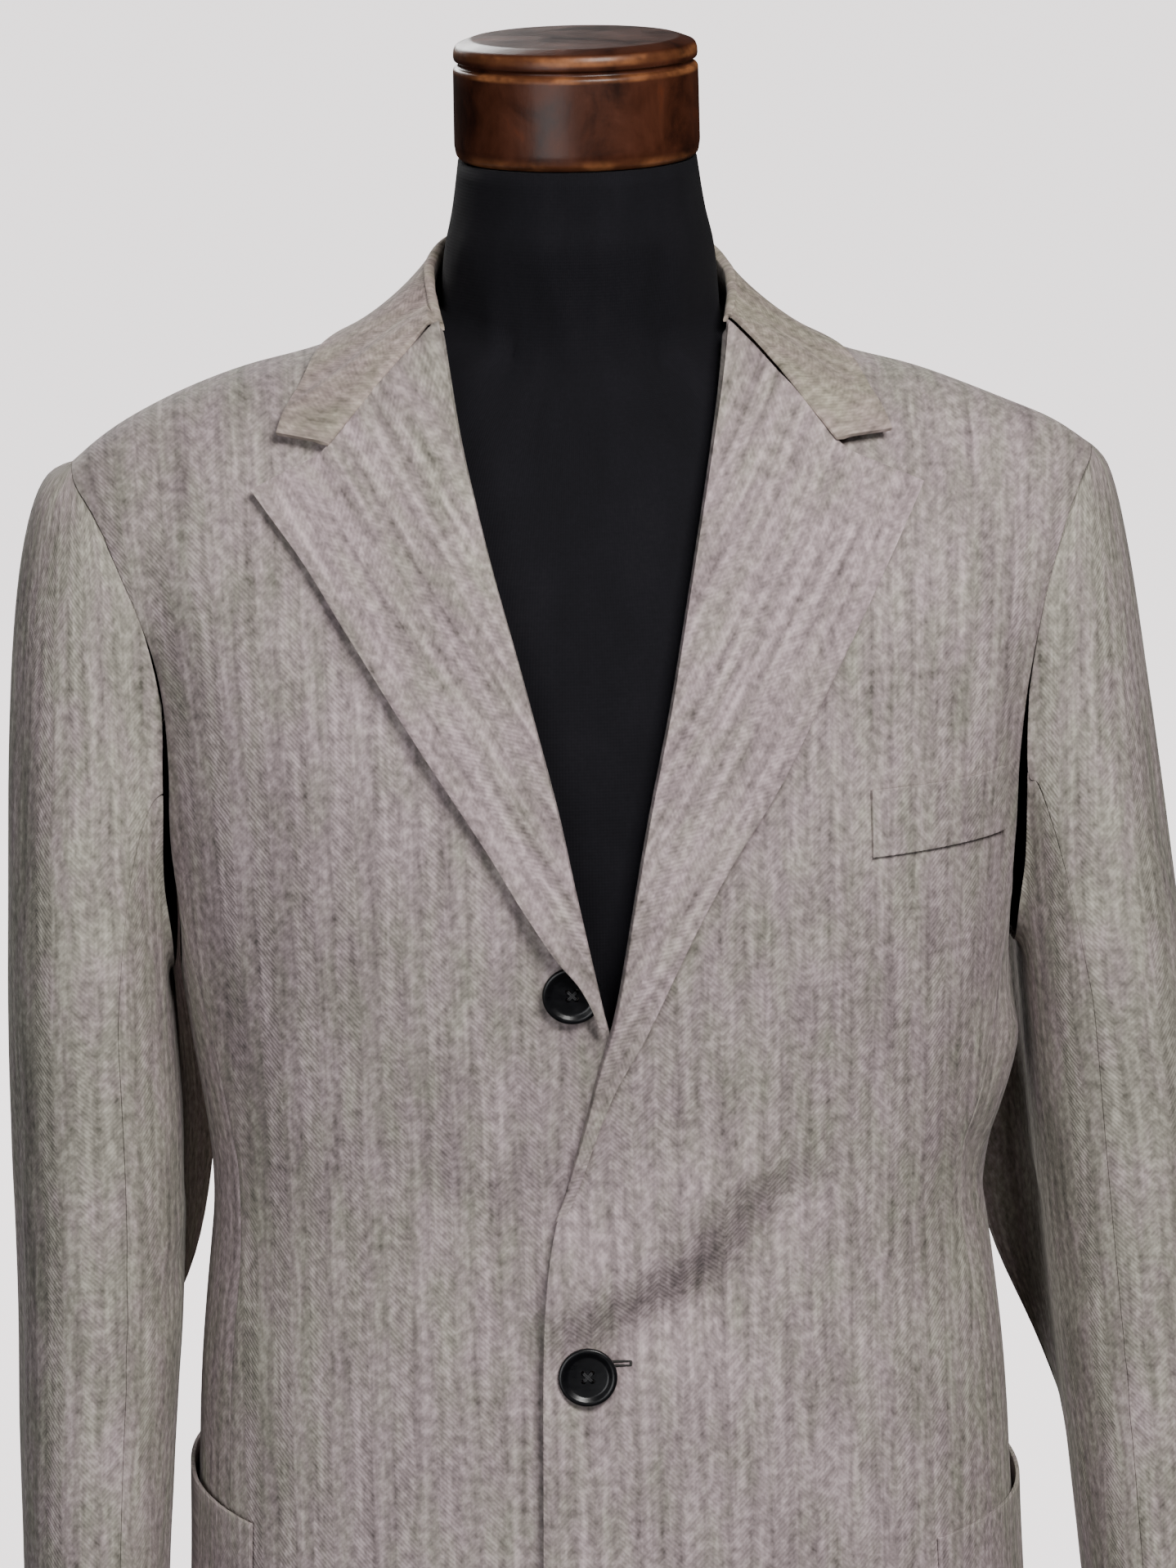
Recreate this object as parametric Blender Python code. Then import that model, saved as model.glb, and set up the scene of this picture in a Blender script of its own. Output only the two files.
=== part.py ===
"""A single-breasted blazer with notched lapels, worn by a limbless dress form on a short stand.

Metres, +Z up. The wearer faces -Y, so the wearer's left is +X. The origin is on the floor, under the
middle of the stand's base. Heights called "height" are measured up from the jacket's hem.
Each cloth piece is a wall whose outer face follows one body surface: sections across the body up to
the chest line, and above it a dome that closes at the shoulder seam.
"""
import bpy
import bmesh
import math
from mathutils import Vector

# Driving dimensions
HEM_Z = 0.130                # the hem above the floor
CLOTH = 0.0020               # cloth wall
SEAM = 0.0003                # gap at a seam
SEAM_BENT = 0.0010           # gap at a seam whose two walls meet round a tight bend
LYING = 0.0008               # gap between the cloth and a curved piece that lies on it
CHEST = 0.490                # chest line above the hem
ROUNDNESS = 2.4              # exponent of a horizontal section
FRONT_DOME = (2.0, 2.0)      # exponents of the front's closing curve, across and up
BACK_DOME = (3.0, 2.2)
NECK_POINT = 0.078           # where the shoulder seam starts, from the middle
NAPE = 0.735                 # the neckline at the middle of the back
ARMHOLE_DIP = 0.052          # how far the armhole reaches below the chest line
LAPEL_LIP = 0.0018           # the rolled edge in front of a front's own edge
LAPEL_SETBACK = 0.0040       # from the roll back to the front's own edge under it
LAPEL_SPRING = 0.0020        # the outer edge stands this much further off the cloth halfway up
OVERLAP_LIFT = 0.0040        # the lapping front lies this much further out
COLLAR_DROP = 0.0055         # the fold lies lower on the wearer's left
COLLAR_FOLD_RADIUS = 0.0028
COLLAR_SAG = 0.0070          # how far the fall hangs in between fold and edge
COLLAR_SHORT = 0.0042        # its front corner lies this much further in on the wearer's left
COLLAR_TIP = 0.0030          # its front end stands this much further off the cloth
BUTTON_RADIUS = 0.0133
BUTTON_THICK = 0.0032
BUTTON_SHANK = 0.0009        # the disc stands this far off the cloth
FORM_CLEARANCE = 0.0080
FORM_SEAT = 0.0017
FORM_BOTTOM = 0.016          # above the hem
NECK_BASE = 1.06             # the neck is this much wider where it leaves the shoulders
NECK_TOP = 0.8000
CAP_TOP = 0.8530
CAP_RADIUS = 0.0545
POST_RADIUS = 0.018
BASE_RADIUS = 0.190
BASE_THICK = 0.022

BODY = {                     # horizontal sections
    "height":      (0.000, 0.070, 0.140, 0.250, 0.335, 0.420, 0.490, 0.560, 0.620, 0.667, 0.760),
    "half_width":  (0.2000, 0.1950, 0.1900, 0.1845, 0.1765, 0.1865, 0.1955, 0.2070, 0.2280, 0.2450, 0.2520),
    "front_depth": (0.1380, 0.1350, 0.1310, 0.1240, 0.1190, 0.1270, 0.1330, 0.1330, 0.1330, 0.1330, 0.1330),
    "back_depth":  (0.1290, 0.1290, 0.1270, 0.1150, 0.1010, 0.1100, 0.1210, 0.1210, 0.1210, 0.1210, 0.1210),
}
SHOULDER = {                 # the shoulder seam's height, outwards from the middle, by the wearer's side
    "across": (0.000, 0.040, 0.080, 0.115, 0.150, 0.187, 0.215, 0.2285, 0.250),
    "right":  (0.752, 0.747, 0.7320, 0.7170, 0.7085, 0.6950, 0.6795, 0.6690, 0.646),
    "left":   (0.752, 0.744, 0.7270, 0.7105, 0.7005, 0.6860, 0.6735, 0.6640, 0.642),
}
ARMHOLE = {                  # half the width between the armholes
    "height": (0.490, 0.530, 0.580, 0.620, 0.648, 0.668),
    "front":  (0.1905, 0.1912, 0.1962, 0.2055, 0.2170, 0.2285),
    "back":   (0.1900, 0.1890, 0.1935, 0.2040, 0.2165, 0.2285),
}
SIDE_SEAM = {                # share of the half width at which the side panel starts
    "height": (0.000, 0.200, 0.335, 0.440, 0.490),
    "front":  (0.925, 0.925, 0.930, 0.955, 0.9744),
    "back":   (0.925, 0.925, 0.930, 0.955, 0.9719),
}
ROLL_RIGHT = {               # the turned edge of the wearer's right lapel, x towards the wearer's right
    "x":      (0.0005, 0.0121, 0.0206, 0.0331, 0.0486, 0.0575, 0.0625),
    "height": (0.4370, 0.4938, 0.5369, 0.5887, 0.6495, 0.6927, 0.7300),
}
EDGE_RIGHT = {               # that lapel's outer edge, from its foot to its tip
    "x":      (0.0046, 0.0100, 0.0210, 0.0384, 0.0530, 0.0801, 0.1036, 0.1271, 0.1480),
    "height": (0.4385, 0.4541, 0.4678, 0.4952, 0.5207, 0.5638, 0.6021, 0.6397, 0.6665),
}
ROLL_LEFT = {                # the wearer's left lapel and the fold that runs on into the front edge
    "x":      (-0.0247, -0.0210, -0.0171, -0.0126, -0.0084, -0.0048, 0.0000, 0.0028, 0.0123, 0.0181, 0.0284,
               0.0393, 0.0476, 0.0559, 0.0615),
    "height": (0.3464, 0.3563, 0.3699, 0.3856, 0.4013, 0.4163, 0.4330, 0.4423, 0.4935, 0.5252, 0.5699,
               0.6239, 0.6637, 0.7010, 0.7262),
}
EDGE_LEFT = {
    "x":      (-0.0207, -0.0163, -0.0115, -0.0062, -0.0017, 0.0061, 0.0146, 0.0214, 0.0459, 0.0758, 0.0944,
               0.1213, 0.1450),
    "height": (0.3474, 0.3564, 0.3703, 0.3860, 0.4013, 0.4159, 0.4310, 0.4466, 0.4959, 0.5409, 0.5747,
               0.6214, 0.6620),
}
FRONT_EDGE_RIGHT = {         # below the lapel the right front runs on under the left one
    "x":      (0.0300, 0.0300, 0.0250, 0.0120, -0.0005),
    "height": (0.0000, 0.2000, 0.3000, 0.3800, 0.4370),
}
FRONT_EDGE_LEFT = {
    "x":      (0.0150, -0.0120, -0.0280, -0.0340, -0.0339, -0.0328, -0.0314, -0.0294, -0.0273, -0.0247),
    "height": (0.0000, 0.0080, 0.0280, 0.0550, 0.1895, 0.2335, 0.2886, 0.3150, 0.3285, 0.3464),
}
NOTCH = {                    # where the gorge seam ends and the notch opens
    "side":   (-1, 1),
    "x":      (0.1130, 0.1060),
    "height": (0.6830, 0.6795),
}
COLLAR = {                   # half of the collar; share 0 is its front end and 1 the middle of the back
    "share":       (0.000, 0.125, 0.250, 0.375, 0.500, 0.625, 0.750, 0.875, 1.000),
    "edge_x":      (0.1355, 0.1310, 0.1240, 0.1150, 0.1020, 0.0810, 0.0540, 0.0270, 0.0000),
    "edge_run":    (1.692, 1.763, 1.840, 2.000, 2.185, 2.290, 2.355, 2.395, 2.413),
    "fold_x":      (0.0640, 0.0664, 0.0674, 0.0674, 0.0652, 0.0580, 0.0430, 0.0225, 0.0000),
    "fold_y":      (-0.0330, -0.0190, -0.0080, 0.0030, 0.0170, 0.0355, 0.0535, 0.0645, 0.0685),
    "fold_height": (0.7335, 0.7420, 0.7485, 0.7530, 0.7560, 0.7610, 0.7645, 0.7665, 0.7670),
    "stand":       (0.0010, 0.0035, 0.0070, 0.0105, 0.0145, 0.0190, 0.0225, 0.0245, 0.0250),
    "splay":       (0.00, 0.20, 0.40, 0.45, 0.30, 0.10, 0.00, 0.00, 0.00),
}
COLLAR_SECTIONS = (0.0, 0.06, 0.12, 0.18, 0.24, 0.30, 0.36, 0.42, 0.48, 0.54, 0.61, 0.69, 0.77, 0.85, 0.93, 1.0)
FOLDS = (                    # the largest folds; depth below zero is a trough
    # x, height, side, slope in degrees, half length, half width, depth
    (0.036, 0.3160, -1, 35, 0.064, 0.015, -0.0042),
    (0.019, 0.3450, -1, 35, 0.058, 0.016, 0.0036),
    (0.163, 0.355, -1, 84, 0.060, 0.012, -0.0030),
    (0.190, 0.383, -1, 90, 0.032, 0.022, 0.0115),
    (0.190, 0.383, 1, 90, 0.032, 0.022, 0.0115),
    (-0.192, 0.600, -1, 86, 0.070, 0.013, -0.0035),
    (-0.160, 0.450, -1, 88, 0.110, 0.016, -0.0022),
    (-0.060, 0.330, -1, 125, 0.060, 0.018, -0.0020),
    (0.060, 0.345, 1, 60, 0.080, 0.018, -0.0032),
    (-0.075, 0.330, 1, 118, 0.090, 0.018, -0.0034),
    (0.150, 0.560, 1, 80, 0.080, 0.018, -0.0030),
    (-0.150, 0.560, 1, 100, 0.075, 0.018, -0.0030),
)
SLEEVE = {                   # sections of a hanging sleeve; fall is the depth under the hem, so below zero
    "fall":     (-0.420, -0.360, -0.290, -0.220, -0.150, -0.090, -0.040),
    "thick":    (0.0380, 0.0390, 0.0380, 0.0360, 0.0335, 0.0315, 0.0300),
    "deep":     (0.0790, 0.0770, 0.0740, 0.0700, 0.0660, 0.0630, 0.0610),
    "x_right":  (0.2285, 0.2280, 0.2290, 0.2330, 0.2360, 0.2370, 0.2380),
    "x_left":   (0.2330, 0.2385, 0.2440, 0.2490, 0.2530, 0.2560, 0.2580),
    "y":        (0.0020, 0.0030, 0.0010, -0.0050, -0.0140, -0.0230, -0.0310),
    "in_right": (0.0350, 0.0465, 0.0385, 0.0117, 0.0023, 0.0000, 0.0000),    # how far its back turns in
    "in_left":  (0.0420, 0.0610, 0.0550, 0.0310, 0.0110, 0.0030, 0.0000),
}
TURN_IN = 3.5                # a sleeve's back turns in late and steeply, behind the body
CROWN = {                    # how the sleeve's head leaves the shoulder and runs into the first section
    "side":  (-1, 1),
    "reach": (0.028, 0.017),
    "hang":  (0.62, 0.36),
    "lean":  (0.005, 0.014),
}
SLEEVE_CROWN = 7             # rows from the armhole to the first hanging section
SLEEVE_HALF = 11             # columns each side of the shoulder that the top sleeve takes
NECK = {                     # the form's neck
    "height":     (0.7600, 0.7760, 0.8000),
    "half_width": (0.0600, 0.0565, 0.0530),
    "half_depth": (0.0585, 0.0570, 0.0540),
}
FINISHES = {                 # colour, roughness, metallic
    "tweed": ((0.33, 0.30, 0.285), 0.92, 0.0),
    "jersey": ((0.018, 0.018, 0.022), 0.95, 0.0),
    "horn": ((0.012, 0.012, 0.013), 0.38, 0.0),
    "lacquered_wood": ((0.075, 0.035, 0.022), 0.42, 0.0),
    "black_metal": ((0.02, 0.02, 0.022), 0.45, 0.8),
}


def read(table, name, value, key="height"):
    """A named column at one height, along a smooth curve that doesn't overshoot."""
    keys, values = table[key], table[name]
    if value <= keys[0]:
        return values[0]
    if value >= keys[-1]:
        return values[-1]
    i = 0
    while value > keys[i + 1]:
        i += 1

    def slope(k):
        if k == 0 or k == len(keys) - 1:
            return 0.0 if key == "height" else end_slope(k)
        left = (values[k] - values[k - 1]) / (keys[k] - keys[k - 1])
        right = (values[k + 1] - values[k]) / (keys[k + 1] - keys[k])
        if left * right <= 0.0:
            return 0.0
        return 2.0 * left * right / (left + right)

    def end_slope(k):
        a, b = (0, 1) if k == 0 else (k - 1, k)
        return (values[b] - values[a]) / (keys[b] - keys[a])

    span = keys[i + 1] - keys[i]
    t = (value - keys[i]) / span
    m0, m1 = slope(i) * span, slope(i + 1) * span
    return ((2 * t**3 - 3 * t**2 + 1) * values[i] + (t**3 - 2 * t**2 + t) * m0
            + (-2 * t**3 + 3 * t**2) * values[i + 1] + (t**3 - t**2) * m1)


def smooth_step(value, low, high):
    t = min(1.0, max(0.0, (value - low) / (high - low)))
    return t * t * (3.0 - 2.0 * t)


def along(table, t):
    """The point at share t of an outline given by its columns x and height."""
    points = list(zip(table["x"], table["height"]))
    lengths = [math.dist(a, b) for a, b in zip(points, points[1:])]
    rest = t * sum(lengths)
    for (a, b), length in zip(zip(points, points[1:]), lengths):
        if rest <= length:
            f = rest / length
            return (a[0] + (b[0] - a[0]) * f, a[1] + (b[1] - a[1]) * f)
        rest -= length
    return points[-1]


def ridge(x):
    return read(SHOULDER, "left" if x > 0 else "right", abs(x), "across")


def level_of(x, height, side=-1):
    """Level 0 is the hem, 1 the chest line and 2 the shoulder seam."""
    if height <= CHEST:
        return height / CHEST
    a, b = FRONT_DOME if side < 0 else BACK_DOME
    up = min(1.0, (height - CHEST) / (ridge(x) - CHEST))
    across = max(0.0, 1.0 - up**b) ** (1.0 / a)
    return 1.0 + math.acos(min(1.0, across)) / (math.pi / 2)


def height_of(x, level, side=-1):
    if level <= 1.0:
        return CHEST * level
    a, b = FRONT_DOME if side < 0 else BACK_DOME
    across = math.cos((level - 1.0) * math.pi / 2)
    up = max(0.0, 1.0 - max(0.0, across)**a) ** (1.0 / b)
    return CHEST + (ridge(x) - CHEST) * up


def depth_name(side):
    return "front_depth" if side < 0 else "back_depth"


def surface_value(x, y, height, side, upper):
    """Zero on the body's surface, above zero outside it."""
    share = abs(x) / read(BODY, "half_width", height)
    depth = read(BODY, depth_name(side), height)
    if not upper:
        return share**ROUNDNESS + (abs(y) / depth)**ROUNDNESS - 1.0
    a, b = FRONT_DOME if side < 0 else BACK_DOME
    reach = depth * max(1e-6, 1.0 - share**ROUNDNESS) ** (1.0 / ROUNDNESS)
    up = (height - CHEST) / (ridge(x) - CHEST)
    return (abs(y) / reach)**a + max(0.0, up)**b - 1.0


def surface_normal(x, y, height, side, upper):
    e = 0.0004
    if upper:
        height = max(height, CHEST + 2 * e)
    g = []
    for dx, dy, dz in ((e, 0, 0), (0, e, 0), (0, 0, e)):
        g.append(surface_value(x + dx, y + dy, height + dz, side, upper)
                 - surface_value(x - dx, y - dy, height - dz, side, upper))
    if upper and abs(y) < 1e-6:
        g[1] = 0.0
    return Vector(g).normalized()


def fold_depth(x, height, side):
    total = 0.0
    for fx, fh, fside, slope, half_length, half_width, depth in FOLDS:
        if fside != side:
            continue
        c, s = math.cos(math.radians(slope)), math.sin(math.radians(slope))
        run = (x - fx) * c + (height - fh) * s
        across = -(x - fx) * s + (height - fh) * c
        if abs(run) < 2.0 * half_length:
            total += depth * math.exp(-(across / half_width)**2 - (run / half_length)**4)
    return total


def body_at(x, level, side, out=0.0):
    """A point of the worn surface and its normal, at x across and at a level; side is -1 in front."""
    height = height_of(x, level, side)
    share = min(0.9995, abs(x) / read(BODY, "half_width", height))
    reach = read(BODY, depth_name(side), height) * (1.0 - share**ROUNDNESS) ** (1.0 / ROUNDNESS)
    y = side * reach * (math.cos((level - 1.0) * math.pi / 2) if level > 1.0 else 1.0)
    if level > 1.9999:
        y = 0.0
    normal = surface_normal(x, y, height, side, level > 1.0)
    fade = 1.0 - smooth_step(level, 1.80, 1.98)
    point = Vector((x, y + side * SEAM / 2, HEM_Z + height))
    return point + normal * (fold_depth(x, height, side) * fade + out), normal


def ring_at(angle, height, sign, out=0.0, folds=1.0):
    """The same surface below the chest line, by its angle: 0 in front, 90 at the side, 180 behind."""
    side = -1 if angle <= 90.0 else 1
    turn = math.radians(angle if side < 0 else 180.0 - angle)
    x = sign * read(BODY, "half_width", height) * math.sin(turn) ** (2.0 / ROUNDNESS)
    y = side * read(BODY, depth_name(side), height) * max(0.0, math.cos(turn)) ** (2.0 / ROUNDNESS)
    normal = surface_normal(x, y, height, side, False)
    point = Vector((x, y, HEM_Z + height))
    return point + normal * (fold_depth(x, height, side) * folds + out), normal


def seam_angle(height, name):
    return math.degrees(math.asin(read(SIDE_SEAM, name, height) ** (ROUNDNESS / 2.0)))


def overlap(x, height):
    """How far the lapping front lies outside the body surface, near its edge."""
    return OVERLAP_LIFT * (1.0 - smooth_step(x, 0.030, 0.085)) * (1.0 - smooth_step(height, 0.44, 0.53))


def front_at(x, level, sign, out=0.0):
    extra = overlap(x, height_of(x, level)) if sign > 0 else 0.0
    return body_at(x, level, -1, out + extra)


def lift_clear(point, gap):
    """Move a point that is nearer than gap to the dome out along the dome's normal."""
    side = -1 if point.y < 0 else 1
    a, b = FRONT_DOME if side < 0 else BACK_DOME
    height = point.z - HEM_Z
    share = min(0.999, abs(point.x) / read(BODY, "half_width", height))
    reach = read(BODY, depth_name(side), CHEST) * (1.0 - share**ROUNDNESS) ** (1.0 / ROUNDNESS)
    ratio = min(1.0, abs(point.y) / reach)
    under = CHEST + (ridge(point.x) - CHEST) * (1.0 - ratio**a) ** (1.0 / b)
    if ratio >= 0.99:
        return point
    normal = surface_normal(point.x, point.y, max(under, CHEST + 0.01), side, True)
    inside = (under - height) * normal.z
    return point + normal * max(0.0, inside + gap)


def material(name):
    if name in bpy.data.materials:
        return bpy.data.materials[name]
    colour, rough, metal = FINISHES[name]
    made = bpy.data.materials.new(name)
    made.use_nodes = True
    shader = made.node_tree.nodes["Principled BSDF"]
    shader.inputs["Base Color"].default_value = (*colour, 1.0)
    shader.inputs["Roughness"].default_value = rough
    shader.inputs["Metallic"].default_value = metal
    made.diffuse_color = (*colour, 1.0)
    return made


def add(name, mesh_data, finish, sharp=40.0):
    """Close a bmesh into an object of its own, with its faces pointing out."""
    bmesh.ops.recalc_face_normals(mesh_data, faces=mesh_data.faces)
    mesh = bpy.data.meshes.new(name)
    mesh_data.to_mesh(mesh)
    mesh_data.free()
    mesh.shade_smooth()
    mesh.set_sharp_from_angle(angle=math.radians(sharp))
    mesh.materials.append(material(finish))
    made = bpy.data.objects.new(name, mesh)
    bpy.context.scene.collection.objects.link(made)
    return made


def wall(name, outer, inner, finish="tweed"):
    """A closed wall between two grids of points, rows of columns, open at all four edges before."""
    rows, cols = len(outer), len(outer[0])
    bm = bmesh.new()
    skins = []
    for points in (outer, inner):
        bmesh.ops.create_grid(bm, x_segments=cols - 1, y_segments=rows - 1, size=1.0)
        bm.verts.ensure_lookup_table()
        grid = bm.verts[-rows * cols:]
        order = sorted(grid, key=lambda v: (round(v.co.y, 5), v.co.x))
        for vert, point in zip(order, (p for row in points for p in row)):
            vert.co = point
        skins.append(order)
    a, b = skins
    rim = ([c for c in range(cols)] + [r * cols + cols - 1 for r in range(1, rows)]
           + [(rows - 1) * cols + c for c in range(cols - 2, -1, -1)]
           + [r * cols for r in range(rows - 2, 0, -1)])
    for i, j in zip(rim, rim[1:] + rim[:1]):
        bm.faces.new((a[i], a[j], b[j], b[i]))
    return add(name, bm, finish)


def loft(name, loops, finish, sharp=40.0, folded=False):
    """Closed loops of points, one after the other, bridged, with a cap at each end.

    A folded loop runs out over a piece and back under it, so its cap is a strip.
    """
    bm = bmesh.new()
    rings = [[bm.verts.new(p) for p in loop] for loop in loops]
    count = len(loops[0])
    for low, high in zip(rings, rings[1:]):
        for i in range(count):
            j = (i + 1) % count
            bm.faces.new((low[i], low[j], high[j], high[i]))
    for ring in (rings[0], rings[-1]):
        if not folded:
            bm.faces.new(ring)
            continue
        for i in range(count // 2 - 1):
            bm.faces.new((ring[i], ring[i + 1], ring[count - 2 - i], ring[count - 1 - i]))
    return add(name, bm, finish, sharp)


def turned(name, profile, finish, segments, place=Vector((0, 0, 0)), axis=Vector((0, 0, 1)), sharp=30.0):
    """Spin a profile of (radius, height) pairs, closed on its axis at both ends."""
    bm = bmesh.new()
    verts = [bm.verts.new((r, 0.0, z)) for r, z in profile]
    edges = [bm.edges.new(pair) for pair in zip(verts, verts[1:])]
    bmesh.ops.spin(bm, geom=verts + edges, cent=(0, 0, 0), axis=(0, 0, 1), angle=2 * math.pi,
                   steps=segments, use_merge=True)
    bmesh.ops.remove_doubles(bm, verts=bm.verts, dist=0.00001)
    turn = Vector((0, 0, 1)).rotation_difference(axis).to_matrix()
    bmesh.ops.transform(bm, matrix=turn.to_4x4(), verts=bm.verts)
    bmesh.ops.translate(bm, vec=place, verts=bm.verts)
    return add(name, bm, finish, sharp)


def thin(points_and_normals, thickness=CLOTH):
    """Outer and inner grids of a wall from rows of (point, normal)."""
    outer = [[p for p, n in row] for row in points_and_normals]
    inner = [[p - n * thickness for p, n in row] for row in points_and_normals]
    return outer, inner


LOW_HEIGHTS = (0.000, 0.045, 0.090, 0.135, 0.180, 0.225, 0.270, 0.315, 0.351, 0.366, 0.395, 0.437, 0.455, 0.490)
LOW_LEVELS = [height / CHEST for height in LOW_HEIGHTS]
NAPE_LEVEL = level_of(0.0, NAPE, 1)
HIGH_LEVELS = [1.12, 1.25, 1.37, 1.48, 1.575, NAPE_LEVEL, 1.685, 1.73, 1.79, 1.86, 1.93, 2.0]
BODY_LEVELS = LOW_LEVELS + HIGH_LEVELS
ARMHOLE_LEVELS = [1.0] + HIGH_LEVELS
FRONT_COLUMNS = (0.0, 0.07, 0.17, 0.28, 0.39, 0.50, 0.61, 0.72, 0.82, 0.91, 1.0)
BACK_COLUMNS = (0.0, 0.12, 0.24, 0.36, 0.48, 0.60, 0.71, 0.82, 0.91, 1.0)


def outer_x(level, name, sign):
    """The edge of a front or a back: its side seam, then its armhole, as x towards its own side."""
    if level <= 1.0:
        height = CHEST * level
        return read(BODY, "half_width", height) * read(SIDE_SEAM, name, height)
    x = 0.2
    for _ in range(6):
        x = read(ARMHOLE, name, height_of(sign * x, level, -1 if name == "front" else 1))
    return x if level < 2.0 else ARMHOLE[name][-1]


def inner_x(level, sign):
    """The inner edge of a front, as x towards its own side."""
    roll, edge = (ROLL_LEFT, FRONT_EDGE_LEFT) if sign > 0 else (ROLL_RIGHT, FRONT_EDGE_RIGHT)
    foot = roll["height"][0]
    top = level_of(sign * roll["x"][-1], roll["height"][-1])
    if level > top:
        f = (level - top) / (2.0 - top)
        return (roll["x"][-1] + LAPEL_SETBACK) * (1.0 - f) + NECK_POINT * f
    x = 0.03
    for _ in range(8):
        height = height_of(sign * x, level)
        if height < foot:
            x = read(edge, "x", height) * (1.0 if sign > 0 else -1.0)
        else:
            x = read(roll, "x", height)
    setback = LAPEL_SETBACK * smooth_step(height_of(sign * x, level), foot, foot + 0.015)
    return x + setback


def make_front(sign):
    rows = []
    for level in BODY_LEVELS:
        low, high = inner_x(level, sign), outer_x(level, "front", sign)
        rows.append([front_at(sign * (low + (high - low) * f), level, sign) for f in FRONT_COLUMNS])
    return wall("front_left" if sign > 0 else "front_right", *thin(rows))


def make_back(sign):
    nape_reach = math.cos((NAPE_LEVEL - 1.0) * math.pi / 2)
    rows = []
    for level in BODY_LEVELS:
        low = SEAM / 2
        if level > NAPE_LEVEL:
            low = NECK_POINT * math.sqrt(1.0 - (math.cos((level - 1.0) * math.pi / 2) / nape_reach) ** 2)
        high = outer_x(level, "back", sign)
        rows.append([body_at(sign * (low + (high - low) * f), level, 1) for f in BACK_COLUMNS])
    return wall("back_left" if sign > 0 else "back_right", *thin(rows))


def underarm(share):
    """The side panel's top edge; share runs from -1 at the front seam to 1 at the back one."""
    return CHEST - ARMHOLE_DIP * (1.0 - abs(share) ** 2.2)


def side_point(share, height, sign, out=0.0, gap=SEAM):
    name = "front" if share < 0 else "back"
    apart = 90.0 - seam_angle(height, name) - math.degrees(gap / 0.125)
    return ring_at(90.0 + share * apart, height, sign, out)


SIDE_COLUMNS = (-1.0, -0.72, -0.45, -0.2, 0.0, 0.2, 0.45, 0.72, 1.0)


def make_side(sign):
    rows = []
    for level in LOW_LEVELS:
        rows.append([side_point(s, underarm(s) * level, sign) for s in SIDE_COLUMNS])
    return wall("side_left" if sign > 0 else "side_right", *thin(rows))


def lapel_section(roll_point, edge_point, bend, weight, sign, belly, rest, free, spring, body):
    """One closed section across a lapel: over the top, round the rolled lip and back underneath.

    rest lifts it over a button, free from 0 to 1 takes away the lip in front of the front's edge, spring
    lifts the outer edge, and body from 0 to 1 brings the foot from a thin edge to the full cloth.
    """
    (rx, rh), (ex, eh) = roll_point, edge_point
    r_level, e_level = level_of(sign * rx, rh), level_of(sign * ex, eh)
    width = max(0.004, math.dist(roll_point, edge_point))

    def at(f, out):
        x = rx + (ex - rx) * f
        level = r_level + (e_level - r_level) * f
        if bend:
            peak = 1.0 - abs(f - bend[0]) / (bend[0] if f < bend[0] else 1.0 - bend[0])
            x += bend[1] * peak * weight
            level += bend[2] * peak * weight
        return front_at(sign * x, level, sign, out)[0]

    def lift(f):
        near = (1.0 - f) ** 0.7 * min(1.0, 0.35 + 2.5 * (1.0 - f))
        return LYING * (0.5 + 0.5 * body) + rest + belly * near + spring * f * f

    low_lip = -CLOTH * (1.0 - free) + (lift(0.0) - 0.0002) * free
    thick = CLOTH * (0.5 + 0.5 * body)
    lip = min(0.11, LAPEL_LIP / width)
    shares = (1.0, 0.80, 0.60, 0.42, 0.28, 0.17)
    top = [at(f, lift(f) + thick) for f in shares]
    top.append(at(lip * 0.9, lift(lip) + thick * 0.95))
    top.append(at(lip * 0.25, lift(0.0) + thick * 0.55))
    top.append(at(0.0, (lift(0.0) + low_lip) * 0.5))
    top.append(at(0.0, low_lip))
    under = [at(lip, low_lip), at(lip, (lift(lip) + low_lip) * 0.5), at(lip * 1.5, lift(lip))]
    under += [at(f, lift(f)) for f in reversed(shares[:-1])]
    return top + under


def make_lapel(sign):
    roll, edge = (ROLL_LEFT, EDGE_LEFT) if sign > 0 else (ROLL_RIGHT, EDGE_RIGHT)
    (rx, rh), (ex, eh) = along(roll, 1.0), along(edge, 1.0)
    notch_x, notch_height = read(NOTCH, "x", sign, "side"), read(NOTCH, "height", sign, "side")
    top_roll, top_edge = level_of(sign * rx, rh), level_of(sign * ex, eh)
    at_notch = 0.60
    straight_x = rx + (ex - rx) * at_notch
    straight_level = top_roll + (top_edge - top_roll) * at_notch
    bend = (at_notch, notch_x - straight_x, level_of(sign * notch_x, notch_height) - straight_level)
    shares = [0.0, 0.03, 0.08, 0.13, 0.19, 0.25, 0.33, 0.42, 0.51, 0.60, 0.69, 0.78, 0.86, 0.93, 0.97, 1.0]
    loops = []
    for t in shares:
        over_button = (1.0 - smooth_step(t, 0.16, 0.32)) if sign < 0 else 0.0
        free = over_button if sign < 0 else 1.0 - smooth_step(t, 0.03, 0.08)
        belly = 0.0004 + 0.0026 * smooth_step(t, 0.05, 0.4)
        rest = (BUTTON_THICK + BUTTON_SHANK) * 1.15 * over_button
        spring = LAPEL_SPRING * math.sin(math.pi * t) ** 2
        body = 1.0 if sign < 0 else smooth_step(t, 0.0, 0.10)
        loops.append(lapel_section(along(roll, t), along(edge, t), bend, smooth_step(t, 0.80, 1.0) ** 1.5,
                                   sign, belly, rest, free, spring, body))
    return loft("lapel_left" if sign > 0 else "lapel_right", loops, "tweed", folded=True)


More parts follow.
